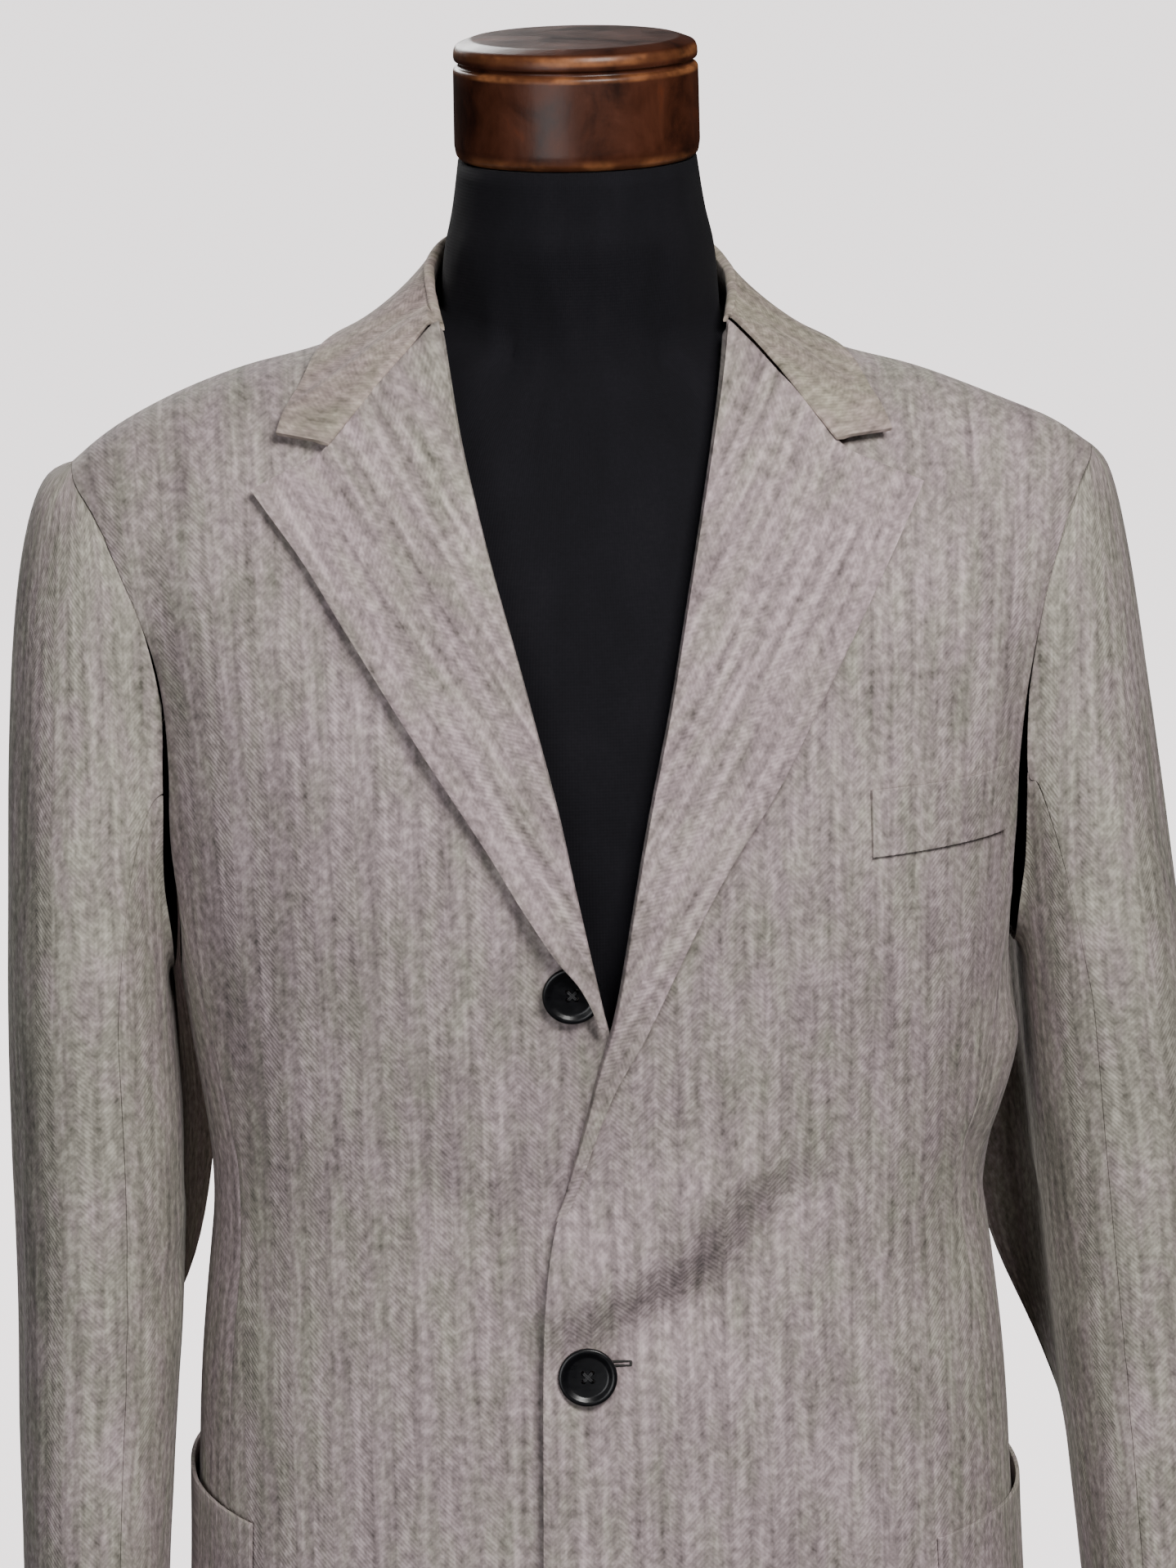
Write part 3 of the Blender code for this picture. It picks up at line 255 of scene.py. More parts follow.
class Tree:
    """A short way to write down a material's nodes."""

    def __init__(self, name, rough, metal=0.0):
        self.material = bpy.data.materials.new(name)
        self.material.use_nodes = True
        self.nodes = self.material.node_tree.nodes
        self.shader = self.nodes["Principled BSDF"]
        self.set("Roughness", rough)
        self.set("Metallic", metal)

    def put(self, socket, value):
        """Link a socket to an output, or set its value."""
        if isinstance(value, bpy.types.NodeSocket):
            self.material.node_tree.links.new(value, socket)
        else:
            socket.default_value = value

    def set(self, name, value):
        self.put(self.shader.inputs[name], value)

    def add(self, kind, inputs=(), **settings):
        """A new node, its inputs given by name or number."""
        made = self.nodes.new("ShaderNode" + kind)
        for name, value in settings.items():
            setattr(made, name, value)
        for name, value in dict(inputs).items():
            self.put(made.inputs[name], value)
        return made

    def sum(self, operation, first, second=0.0, third=0.0):
        return self.add("Math", enumerate((first, second, third)), operation=operation).outputs[0]

    def mad(self, first, second, third):
        """The first times the second, plus the third."""
        return self.sum("MULTIPLY_ADD", first, second, third)

    def place(self, kind, scale=(1.0, 1.0, 1.0)):
        """Coordinates, from the piece's own weave map or its object, times a scale on each axis."""
        if kind == "weave":
            source = self.add("UVMap", uv_map=UV_NAME).outputs[0]
        else:
            source = self.add("TexCoord").outputs["Object"]
        return self.add("Mapping", {"Scale": scale, "Vector": source}).outputs[0]

    def split(self, vector):
        return self.add("SeparateXYZ", {0: vector}).outputs

    def cloud(self, kind, scale, detail=2.0, rough=0.5, distortion=0.0):
        inputs = {"Scale": 1.0, "Detail": detail, "Roughness": rough, "Distortion": distortion,
                  "Vector": self.place(kind, scale)}
        return self.add("TexNoise", inputs).outputs["Fac"]

    def ramp(self, value, *stops):
        made = self.add("ValToRGB", {0: value})
        band = made.color_ramp.elements
        while len(band) < len(stops):
            band.new(0.5)
        for element, (at, shade) in zip(band, stops):
            element.position = at
            element.color = (*shade, 1.0)
        return made.outputs[0]

    def step(self, value, low, high):
        """0 below low and 1 above high, smooth between."""
        inputs = {"From Min": low, "From Max": high, "Value": value}
        return self.add("MapRange", inputs, interpolation_type="SMOOTHSTEP").outputs[0]

    def mix(self, share, first, second, blend="MIX"):
        made = self.add("Mix", {0: share}, data_type="RGBA", blend_type=blend)
        colours = [socket for socket in made.inputs if socket.type == "RGBA"]
        for socket, value in zip(colours, (first, second)):
            self.put(socket, value if isinstance(value, bpy.types.NodeSocket) else (*value, 1.0))
        return next(socket for socket in made.outputs if socket.type == "RGBA")

    def relief(self, height, distance, strength):
        made = self.add("Bump", {"Distance": distance, "Strength": strength, "Height": height})
        self.set("Normal", made.outputs[0])


def scaled(shade, *factor):
    """A colour times one factor, or times one for each channel."""
    return tuple(min(1.0, c * f) for c, f in zip(shade, factor * 3))


def make_tweed(name, cloth, tint, columns):
    """Melange wool: herringbone columns, upright streaks, specks, and a greener, slightly darker outer
    part that is partly painted shade on the sides and the shoulders.
    """
    t = Tree(name, 0.93)
    across, along, _ = t.split(t.place("weave"))
    streaks, neps, drifts, bands, ribs = 0.80 * columns, 1.25, 0.45, 0.14 * columns, 0.03
    column = t.sum("PINGPONG", across, cloth.column)
    slant = t.sum("MULTIPLY", t.sum("ADD", along, column), 2.0 * math.pi / cloth.rib)
    twill = t.sum("SINE", slant)
    streak = t.cloud("weave", (1.0 / cloth.streak, 1.0 / cloth.streak_run, 1.0), 2.0, 0.55)
    nep = t.cloud("weave", (1.0 / cloth.nep, 0.8 / cloth.nep, 1.0), 2.0, 0.6)
    broad = t.cloud("weave", (32.0, 20.0, 1.0), 2.0, 0.5)
    band = t.sum("PINGPONG", t.sum("ADD", across, t.sum("MULTIPLY", streak, 0.002)), cloth.column * 0.5)
    band = t.sum("MULTIPLY", band, 2.0 / cloth.column)
    level = 0.5 - 0.5 * (streaks + neps + drifts + bands)
    shade = t.mad(streak, streaks, t.mad(nep, neps, level))
    shade = t.mad(band, bands, shade)
    shade = t.mad(twill, ribs, shade)
    shade = t.mad(broad, drifts, shade)
    yarns = (cloth.dark, cloth.middle, cloth.light)
    yarn = t.ramp(shade, *zip((0.0, 0.5, 1.0), [scaled(dye, *tint) for dye in yarns]))
    drift = t.cloud("weave", (75.0, 28.0, 1.0), 3.0, 0.6)
    wide = t.cloud("weave", (6.0, 5.0, 1.0), 2.0, 0.5)
    x, _, z = t.split(t.place("object"))
    # Painted shade: towards the sides and the shoulders the cloth turns greener and slightly darker, on
    # top of the random drift of its tone
    outer = t.sum("MAXIMUM", t.step(t.sum("ABSOLUTE", x), 0.11, 0.24), t.step(z, 0.80, 0.91))
    drift_and_painted_shade = t.mad(outer, -0.17, t.sum("SUBTRACT", drift, 0.37))
    tone_and_painted_shade = t.ramp(t.mad(wide, 0.9, drift_and_painted_shade),
                 (0.32, (0.92, 0.99, 0.89)), (0.50, (1.0, 0.992, 0.985)), (0.68, (1.04, 0.975, 1.05)))
    t.set("Base Color", t.mix(1.0, yarn, tone_and_painted_shade, "MULTIPLY"))
    height = t.mad(streak, 0.5, t.sum("MULTIPLY", twill, 0.22))
    t.relief(t.mad(nep, 1.3, height), cloth.nap, 0.9)
    t.set("Sheen Weight", 0.06)
    t.set("Sheen Roughness", 0.45)
    t.set("Specular IOR Level", 0.25)
    return t.material


def make_jersey(name, trim):
    """Smooth black knit with fine ribs and a faint bloom of lint."""
    t = Tree(name, 0.86)
    across, along, _ = t.split(t.place("weave"))
    rib = t.sum("SINE", t.sum("MULTIPLY", across, 2.0 * math.pi / 0.0011))
    loop = t.sum("SINE", t.sum("MULTIPLY", along, 2.0 * math.pi / 0.0014))
    bloom = t.cloud("weave", (30.0, 18.0, 1.0), 4.0, 0.6)
    speck = t.cloud("weave", (520.0, 520.0, 1.0), 1.0, 0.5)
    shade = t.mad(bloom, 0.7, t.sum("MULTIPLY", speck, 0.3))
    t.set("Base Color", t.ramp(shade, (0.30, scaled(trim.jersey, 0.72)), (0.52, trim.jersey),
                               (0.75, scaled(trim.jersey, 1.45, 1.42, 1.35))))
    t.relief(t.mad(loop, 0.5, rib), 0.00008, 0.6)
    t.set("Sheen Weight", 0.015)
    t.set("Sheen Roughness", 0.5)
    t.set("Specular IOR Level", 0.12)
    return t.material


def make_horn(name, trim):
    """Polished black horn with a faint brown grain."""
    t = Tree(name, 0.30)
    grain = t.cloud("object", (180.0, 60.0, 500.0), 4.0, 0.6, 0.6)
    t.set("Base Color", t.ramp(grain, (0.35, scaled(trim.horn, 0.7)), (0.62, trim.horn),
                               (0.85, scaled(trim.horn, 2.6, 2.2, 2.0))))
    t.set("Roughness", t.mad(grain, 0.22, 0.20))
    t.relief(t.cloud("object", (900.0,) * 3, 2.0), 0.00003, 0.5)
    t.set("Specular IOR Level", 0.32)
    return t.material


def make_thread(name, dye):
    """Twisted sewing thread."""
    t = Tree(name, 0.80)
    fibre = t.cloud("object", (2600.0,) * 3, 2.0, 0.6)
    t.set("Base Color", t.ramp(fibre, (0.3, scaled(dye, 0.6)), (0.7, scaled(dye, 1.4))))
    t.relief(fibre, 0.0001, 0.8)
    return t.material


def make_wood(name, trim, low, high):
    """Dark lacquered wood: blotches, fine grain and edges rubbed back to tan."""
    t = Tree(name, 0.40)
    z = t.split(t.place("object"))[2]
    blotch = t.cloud("object", (42.0, 42.0, 34.0), 4.0, 0.62, 0.4)
    grain = t.cloud("object", (260.0, 260.0, 18.0), 3.0, 0.6)
    fleck = t.cloud("object", (150.0,) * 3, 3.0, 0.6)
    body = t.ramp(blotch, (0.34, scaled(trim.wood, 0.36, 0.42, 0.55)), (0.48, trim.wood),
                  (0.62, scaled(trim.wood, 1.45, 1.50, 1.55)), (0.74, scaled(trim.wood, 2.3, 1.9, 1.4)))
    body = t.mix(t.sum("MULTIPLY", grain, 0.35), body, scaled(trim.wood, 0.45))

    def ring(height, near, far):
        """1 at a height, 0 from far on."""
        away = t.sum("ABSOLUTE", t.sum("SUBTRACT", z, height))
        return t.sum("SUBTRACT", 1.0, t.step(away, near, far))

    rub = ring(high - 0.0060, 0.0008, 0.0030)
    lower = ring(high - 0.0140, 0.0006, 0.0022)
    foot = ring(low, 0.0008, 0.0060)
    bands = t.sum("MAXIMUM", t.sum("MAXIMUM", rub, lower), t.sum("MULTIPLY", foot, 0.75))
    patchy = t.step(t.cloud("object", (38.0, 38.0, 60.0), 3.0, 0.6), 0.40, 0.60)
    bands = t.sum("MULTIPLY", bands, t.mad(patchy, 0.75, 0.22))
    worn = t.ramp(fleck, (0.3, scaled(trim.worn, 0.55)), (0.7, trim.worn))
    t.set("Base Color", t.mix(bands, body, worn))
    t.set("Roughness", t.mad(blotch, 0.30, 0.24))
    t.relief(t.sum("ADD", fleck, t.sum("MULTIPLY", grain, 0.5)), 0.00018, 0.7)
    t.set("Specular IOR Level", 0.22)
    t.set("Coat Weight", 0.06)
    t.set("Coat Roughness", 0.20)
    return t.material


def make_metal(name):
    """Satin black powder coat over steel."""
    t = Tree(name, 0.46, 0.35)
    pebble = t.cloud("object", (900.0,) * 3, 2.0, 0.5)
    smear = t.cloud("object", (14.0,) * 3, 4.0, 0.6)
    t.set("Base Color", t.ramp(smear, (0.35, (0.012, 0.012, 0.013)), (0.70, (0.026, 0.026, 0.028))))
    t.set("Roughness", t.mad(smear, 0.25, 0.34))
    t.relief(pebble, 0.00012, 0.5)
    return t.material


def make_backdrop(name, stage):
    """Matt painted board."""
    t = Tree(name, 0.95)
    wash = t.cloud("object", (0.8,) * 3, 3.0, 0.5)
    t.set("Base Color", t.ramp(wash, (0.3, scaled(stage.floor, 0.48)), (0.7, scaled(stage.floor, 0.50))))
    t.set("Emission Color", (*stage.floor, 1.0))
    t.set("Emission Strength", stage.glow)
    return t.material


def add_object(name, data):
    made = bpy.data.objects.new(name, data)
    bpy.context.scene.collection.objects.link(made)
    return made


def mesh_from(bm, name):
    """A new mesh from a bmesh, which is freed."""
    mesh = bpy.data.meshes.new(name)
    bm.to_mesh(mesh)
    bm.free()
    return mesh


def bridge(bm, rings):
    """Join each ring of points to the next by a band of faces."""
    for a, b in zip(rings, rings[1:]):
        for k in range(len(a)):
            following = (k + 1) % len(a)
            bm.faces.new((a[k], a[following], b[following], b[k]))


def points_of(mesh):
    flat = np.empty(len(mesh.vertices) * 3, np.float64)
    mesh.vertices.foreach_get("co", flat)
    return flat.reshape(-1, 3)


def move_points(mesh, points):
    mesh.vertices.foreach_set("co", points.astype(np.float32).ravel())
    mesh.update()


def evaluated_copy(made):
    graph = bpy.context.evaluated_depsgraph_get()
    return bpy.data.meshes.new_from_object(made.evaluated_get(graph))


def skin_through(node, levels):
    """A node's loose triangles joined to quads, then a smooth skin through its points, edges kept."""
    bm = bmesh.new()
    bm.from_mesh(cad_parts[node].data)
    bmesh.ops.remove_doubles(bm, verts=bm.verts, dist=MERGE)
    bmesh.ops.join_triangles(bm, faces=bm.faces, **QUAD_ANGLES)
    crease = bm.edges.layers.float.new("crease_edge")
    for edge in bm.edges:
        edge[crease] = 1.0 if edge.is_manifold and edge.calc_face_angle(0.0) > SHARP else 0.0
    mesh = mesh_from(bm, node)
    made = add_object(node, mesh)
    smooth = made.modifiers.new("Smooth", "SUBSURF")
    smooth.levels = smooth.render_levels = 1
    smooth.use_limit_surface = True
    aim = points_of(mesh)
    for _ in range(PULLS):
        trial = evaluated_copy(made)
        move_points(mesh, points_of(mesh) + aim - points_of(trial)[:len(aim)])
        bpy.data.meshes.remove(trial)
    smooth.levels = smooth.render_levels = levels
    skin = evaluated_copy(made)
    bpy.data.objects.remove(made)
    bpy.data.meshes.remove(mesh)
    return skin


def round_edges(mesh, width):
    """Round every sharp edge of a wall."""
    bm = bmesh.new()
    bm.from_mesh(mesh)
    sharp = [e for e in bm.edges if e.is_manifold and e.calc_face_angle(0.0) > SHARP]
    bmesh.ops.bevel(bm, geom=sharp, offset=width, offset_type="OFFSET", segments=2, profile=0.5,
                    affect="EDGES", material=-1, clamp_overlap=True)
    bm.to_mesh(mesh)
    bm.free()


def object_from(mesh, name, finish, slot, *nodes):
    """Put a finished mesh into the scene, on the only body, in place of its CAD nodes."""
    mesh.name = name
    mesh.materials.clear()
    mesh.materials.append(finish)
    mesh.shade_smooth()
    made = add_object(name, mesh)
    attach(made, "root")
    if nodes:
        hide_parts(*nodes)
    return made


def body_frame(points):
    """Half width and depth of the worn body at each point, and its share of the half width."""
    x, y, z = points.T
    half = np.interp(z - HEM_Z, HALF_WIDTH["height"], HALF_WIDTH["across"])
    share = np.clip(np.abs(x) / half, 0.0, 0.9990)
    depth = np.clip(np.abs(y) / (1.0 - share**ROUNDNESS)**(1.0 / ROUNDNESS), 0.004, 0.160)
    return half, depth, share


def body_run(points):
    """Metres round the body from the middle of its front or back, along the section at each point."""
    half, depth, share = body_frame(points)
    turn = np.arcsin(share**(ROUNDNESS / 2.0)) * np.linspace(0.0, 1.0, 21)[:, None]
    across = half * np.sin(turn)**(2.0 / ROUNDNESS)
    deep = depth * np.maximum(0.0, np.cos(turn))**(2.0 / ROUNDNESS)
    return np.hypot(np.diff(across, axis=0), np.diff(deep, axis=0)).sum(axis=0)


def body_rise(points):
    """Metres up the cloth: its height, and above the chest line the way over the dome."""
    height = points[:, 2] - HEM_Z
    share = body_frame(points)[2]
    deep = np.where(points[:, 1] < 0.0, *CHEST_DEPTH) * (1.0 - share**ROUNDNESS)**(1.0 / ROUNDNESS)
    back = np.maximum(0.0, deep - np.abs(points[:, 1]))
    up = np.maximum(0.0, height - CHEST)
    return np.where(height <= CHEST, height, CHEST + np.hypot(up, back))


def map_body(points):
    return np.column_stack((np.sign(points[:, 0]) * body_run(points), body_rise(points)))


def map_side(points):
    """The side panel's threads run from its own middle line."""
    half = body_frame(points)[0]
    to_side = np.sign(points[:, 1]) * np.hypot(half - np.abs(points[:, 0]), points[:, 1])
    return np.column_stack((SIDE_RUN * np.sign(points[:, 0]) + to_side, points[:, 2] - HEM_Z))


def map_lapel(points):
    """Threads parallel to the upper outer edge."""
    side = np.sign(points[:, 0].mean())
    c, s = math.cos(LAPEL_GRAIN), math.sin(LAPEL_GRAIN)
    lean = side * points[:, 0]
    return np.column_stack((side * (lean * c - points[:, 2] * s), lean * s + points[:, 2] * c))


def map_collar(points):
    turn = np.arctan2(points[:, 0], points[:, 1] - COLLAR_MIDDLE_Y)
    out = np.hypot(points[:, 0], points[:, 1])
    return np.column_stack((turn * COLLAR_ROUND, points[:, 2] - out * COLLAR_FALL))


def sleeve_axis(side):
    """By height: a sleeve's middle across and deep, and how far its back turns in towards the body."""
    nodes = ("sleeve_top_" + side, "sleeve_under_" + side)
    points = np.vstack([points_of(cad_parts[n].data) for n in nodes])
    levels = np.arange(points[:, 2].min() + 0.01, points[:, 2].max() - 0.12, SLEEVE_LEVELS)
    rows = []
    for level in levels:
        near = points[np.abs(points[:, 2] - level) < SLEEVE_BAND]
        deep = (near[:, 1].min() + near[:, 1].max()) / 2.0
        ahead = near[near[:, 1] < deep]
        across = (ahead[:, 0].min() + ahead[:, 0].max()) / 2.0
        rows.append((across, deep, abs(across) - abs(near[near[:, 1].argmax(), 0])))
    return levels, *np.array(rows).T


def from_sleeve_axis(points, side):
    """Each point's distance outward and forward from its sleeve's middle, the turned-in back undone."""
    levels, across, deep, inward = sleeve_axis(side)
    sign = 1.0 if side == "left" else -1.0
    x, y, z = points.T
    out = sign * (x - np.interp(z, levels, across))
    front = np.interp(z, levels, deep) - y
    behind = np.clip(-front / SLEEVE_ROUND[1], 0.0, 1.2)
    return out + np.interp(z, levels, inward) * behind**TURNED_IN, front


def sleeve_run(turn):
    """Metres round a sleeve for an angle from its outermost line."""
    table = np.linspace(-1.5 * math.pi, 2.5 * math.pi, 400)
    steps = np.hypot(SLEEVE_ROUND[0] * np.diff(np.cos(table)), SLEEVE_ROUND[1] * np.diff(np.sin(table)))
    run = np.concatenate(((0.0,), np.cumsum(steps)))
    run -= np.interp(0.0, table, run)
    return np.interp(turn, table, run)


def round_sleeve(points, side, under):
    """Metres forward round the sleeve from its outermost line; the under half's from the inside."""
    out, front = from_sleeve_axis(points, side)
    out, front = out / SLEEVE_ROUND[0], front / SLEEVE_ROUND[1]
    return sleeve_run(math.pi + np.arctan2(-front, -out) if under else np.arctan2(front, out))


def set_weave(mesh, coordinates):
    """Give a mesh a UV map in metres, one pair for each point."""
    corner = np.empty(len(mesh.loops), np.int64)
    mesh.loops.foreach_get("vertex_index", corner)
    layer = mesh.uv_layers.get(UV_NAME) or mesh.uv_layers.new(name=UV_NAME)
    layer.data.foreach_set("uv", coordinates[corner].astype(np.float32).ravel())
    for other in [l for l in mesh.uv_layers if l.name != UV_NAME]:
        mesh.uv_layers.remove(other)


def above(values, level, over):
    """0 at a level and below it, 1 from so much over it."""
    return np.clip((values - level) / over, 0.0, 1.0)


def below(values, level, under):
    """0 at a level and above it, 1 from so much under it."""
    return np.clip((level - values) / under, 0.0, 1.0)


def edge_beside(height, across, step, band, pick):
    """By height: the least or greatest place across among the points near that height."""
    levels = np.arange(height.min(), height.max() + step, step)
    return np.interp(height, levels, [pick(across[np.abs(height - level) < band]) for level in levels])


def lapel_lift(points):
    """How far a lapel stands off the front: nothing at its roll, most along its outer edge."""
    lean = points[:, 0] * np.sign(points[:, 0].mean())
    height = points[:, 2]
    inner, outer = (edge_beside(height, lean, 0.008, 0.009, pick) for pick in (np.min, np.max))
    share = np.clip((lean - inner) / np.maximum(0.003, outer - inner), 0.0, 1.0)
    top = below(height, height.max(), LAPEL_TOP)
    return np.minimum(LAPEL_OPEN, (outer - inner) * LAPEL_OPEN_SHARE) * share**2.5 * top


def forward(distance):
    """Moves by a distance towards the wearer's front."""
    return np.outer(distance, (0.0, -1.0, 0.0))


def welt_lift(points):
    """A welt's upper edge gapes towards the arm; its lower edge is pressed flat."""
    low, high = points.min(axis=0), points.max(axis=0)
    out, _, up = ((points - low) / (high - low)).T
    return forward(WELT_OPEN * out * up**2 - WELT_DOWN * (1.0 - up))


def surface_of(node):
    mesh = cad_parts[node].data
    return BVHTree.FromPolygons([v.co for v in mesh.vertices], [p.vertices for p in mesh.polygons])


def drawn_to(points, beside, reach=SEAM_REACH):
    """Close half of the open line of a seam with the pieces beside it."""
    moved = points.copy()
    for tree in [surface_of(node) for node in beside]:
        for i, point in enumerate(points):
            place, _, _, away = tree.find_nearest(Vector(point), reach)
            if place:
                share = SEAM_SHARE * min(1.0, 2.0 * (1.0 - away / reach))
                moved[i] = point + (np.array(place) - point) * share
    return moved


def closed_behind(points, beside):
    """Draw sleeve and back together where they part behind the armhole."""
    share = above(points[:, 1], 0.0, BEHIND_DEPTH) * above(points[:, 2] - HEM_Z, *BEHIND_HEIGHT)
    moved = np.zeros(points.shape)
    behind = share > 0.0
    moved[behind] = drawn_to(points[behind], beside, BEHIND_REACH) - points[behind]
    return moved * share[:, None]


def collar_lift(points):
    """How far a collar's end stands off."""
    share = below(points[:, 2] - HEM_Z, *COLLAR_END) * (points[:, 1] < 0.0)
    return forward(COLLAR_OPEN * share**1.5)


def front_lift(points):
    """How far the lapping front edge stands off the front under it."""
    height = points[:, 2] - HEM_Z
    inward = points[:, 0] - edge_beside(height, points[:, 0], 0.01, 0.012, np.min)
    near = np.exp(-(inward / FRONT_OPEN_WIDTH)**2)
    return forward(FRONT_OPEN * below(height, *FRONT_OPEN_TOP) * near)


def armhole_dip(points, side, beside):
    """How far the cloth dips in front beside the armhole seam, deeper towards its foot."""
    depth = np.interp(points[:, 2] - HEM_Z, ARMHOLE_DIP["height"], ARMHOLE_DIP["depth"])
    depth *= below(points[:, 1], *ARMHOLE_FRONT)
    trees = [surface_of(part + side) for part in beside]
    for i in np.nonzero(depth)[0]:
        point = Vector(points[i])
        away = min(tree.find_nearest(point, ARMHOLE_SEEN)[3] or ARMHOLE_SEEN for tree in trees)
        depth[i] *= math.exp(-(away / ARMHOLE_WIDTH)**2)
    return depth


def crease_height(across, along, creases):
    """How far the cloth moves out at places across and along it; a trough has a soft ridge beside it."""
    ridge, ridge_away = TROUGH_RIDGE
    total = np.zeros(len(across))
    for at, up, slope, half_length, half_width, depth in creases:
        c, s = math.cos(math.radians(slope)), math.sin(math.radians(slope))
        run = ((across - at) * c + (along - up) * s) / half_length
        side = (-(across - at) * s + (along - up) * c) / half_width
        shape = np.exp(-side**2) - ridge * np.exp(-(side - ridge_away)**2)
        total += depth * shape * np.exp(-run**4)
    return total


def ripple(across, along, seed):
    scale = 1.0 / RIPPLE_LENGTH
    return RIPPLE * np.array([noise.noise(Vector((a * scale, b * scale * 0.6, seed)))
                              + 0.5 * noise.noise(Vector((a * scale * 2.6, b * scale * 1.7, seed + 5.0)))
                              for a, b in zip(across, along)])


def crease_body(points, side=None):
    """Move both skins of a panel, and of what lies on it, by the same creases; a side has an armhole."""
    x, y, z = points.T
    height = z - HEM_Z
    half, depth, share = body_frame(points)
    front = y < 0.0
    moved = np.zeros(len(points))
    moved[front] = crease_height(x[front], height[front], FRONT_CREASES)
    moved[~front] = crease_height(x[~front], height[~front], BACK_CREASES)
    moved *= above(np.abs(y), *CREASE_FADE)
    moved += ripple(x, height, 1.0) * above(np.abs(y), 0.0, 0.02)
    if side:
        moved -= armhole_dip(points, side, ("sleeve_top_", "sleeve_under_"))
    out_x = np.sign(x) * share**(ROUNDNESS - 1.0) / half
    out_y = np.sign(y) * (np.abs(y) / depth)**(ROUNDNESS - 1.0) / depth
    most, turn = SHOULDER_TURN
    out_z = np.clip((height - CHEST) / SHOULDER_RISE, 0.0, most) * turn
    out = np.column_stack((out_x, out_y, out_z))
    out /= np.linalg.norm(out, axis=1)[:, None]
    return points + out * moved[:, None]


def crease_sleeve(points, side, under):
    left = side == "left"
    around = round_sleeve(points, side, under)
    height = points[:, 2] - HEM_Z
    table = [(sleeve_run(math.radians(turn)), *row) for turn, *row in SLEEVE_CREASES]
    if left:
        table = [(at, up - 0.02, 180.0 - slope, long, wide, depth * 0.9)
                 for at, up, slope, long, wide, depth in table]
    moved = crease_height(around, height, table) + ripple(around, height, 9.0 if left else 4.0)
    moved *= 1.0 - above(height, *SLEEVE_FADE)
    moved -= armhole_dip(points, side, ("front_", "side_"))
    out, front = from_sleeve_axis(points, side)
    away = np.column_stack((out if left else -out, -front / 3.6, np.zeros(len(points))))
    away /= np.maximum(1e-6, np.linalg.norm(away, axis=1))[:, None]
    return points + away * moved[:, None]


def dress(node, cloth):
    """One piece of cloth: its solid's form as a smooth thin shell with creases, soft edges and weave."""
    kind, side = node.split("_")[0], node.split("_")[-1]
    under = "under" in node
    mesh = skin_through(node, 3 if kind in FINE else 2)
    points = points_of(mesh)
    if kind == "sleeve":
        beside = ("back_" + side, "side_" + side)
        moved = crease_sleeve(points, side, under) + closed_behind(points, beside)
    elif node == "front_left":
        moved = crease_body(points, side) + front_lift(points)
    elif kind in ("front", "side", "back"):
        beside = ("sleeve_top_" + side, "sleeve_under_" + side)
        moved = crease_body(points, side) + closed_behind(points, beside)
    elif kind == "lapel":
        drawn = drawn_to(points, ("collar",)) - points
        moved = crease_body(points) + forward(lapel_lift(points)) + drawn
    elif kind == "breast":
        moved = crease_body(points) + welt_lift(points)
    elif kind == "collar":
        moved = drawn_to(points, ("lapel_left", "lapel_right")) + collar_lift(points)
    else:
        moved = crease_body(points)
    move_points(mesh, moved)
    round_edges(mesh, cloth.edge)
    points = points_of(mesh)
    if kind == "sleeve":
        weave = np.column_stack((round_sleeve(points, side, under), points[:, 2] - HEM_Z))
    else:
        maps = {"side": map_side, "lapel": map_lapel, "collar": map_collar}
        weave = maps.get(kind, map_body)(points)
    set_weave(mesh, weave)
    name, tint, columns = FINISHES.get(kind, ("tweed_body", (1.0, 1.0, 1.0), 1.0))
    finish = bpy.data.materials.get(name) or make_tweed(name, cloth, tint, columns)
    made = object_from(mesh, "cloth_" + node, finish, "tweed", node)


def dress_each(context, *nodes):
    for node in nodes:
        dress(node, context.scene.blazer_cloth)
    return {"FINISHED"}


class BLAZER_OT_body(bpy.types.Operator):
    """Dress the fronts, sides and backs"""
    bl_idname = "blazer.body"
    bl_label = "Fronts, sides and backs"

    def execute(self, context):
        return dress_each(context, "front_left", "front_right", "side_left", "side_right",
                          "back_left", "back_right")


class BLAZER_OT_lapels(bpy.types.Operator):
    """Dress the lapels and the collar"""
    bl_idname = "blazer.lapels"
    bl_label = "Lapels and collar"

    def execute(self, context):
        return dress_each(context, "lapel_left", "lapel_right", "collar")


class BLAZER_OT_sleeves(bpy.types.Operator):
    """Dress the two halves of each sleeve"""
    bl_idname = "blazer.sleeves"
    bl_label = "Sleeves"

    def execute(self, context):
        return dress_each(context, "sleeve_top_left", "sleeve_top_right",
                          "sleeve_under_left", "sleeve_under_right")


class BLAZER_OT_pockets(bpy.types.Operator):
    """Dress the breast welt and the two patch pockets"""
    bl_idname = "blazer.pockets"
    bl_label = "Pockets"

    def execute(self, context):
        return dress_each(context, "breast_welt", "pocket_left", "pocket_right")


def spun(profile, steps, name):
    """A closed turned shape from (radius, height) pairs, about the Z axis."""
    bm = bmesh.new()
    verts = [bm.verts.new((radius, 0.0, z)) for radius, z in profile]
    edges = [bm.edges.new(pair) for pair in zip(verts, verts[1:])]
    bmesh.ops.spin(bm, geom=verts + edges, cent=(0, 0, 0), axis=(0, 0, 1), angle=2.0 * math.pi,
                   steps=steps, use_merge=True)
    bmesh.ops.remove_doubles(bm, verts=bm.verts, dist=MERGE)
    bmesh.ops.recalc_face_normals(bm, faces=bm.faces)
    return mesh_from(bm, name)


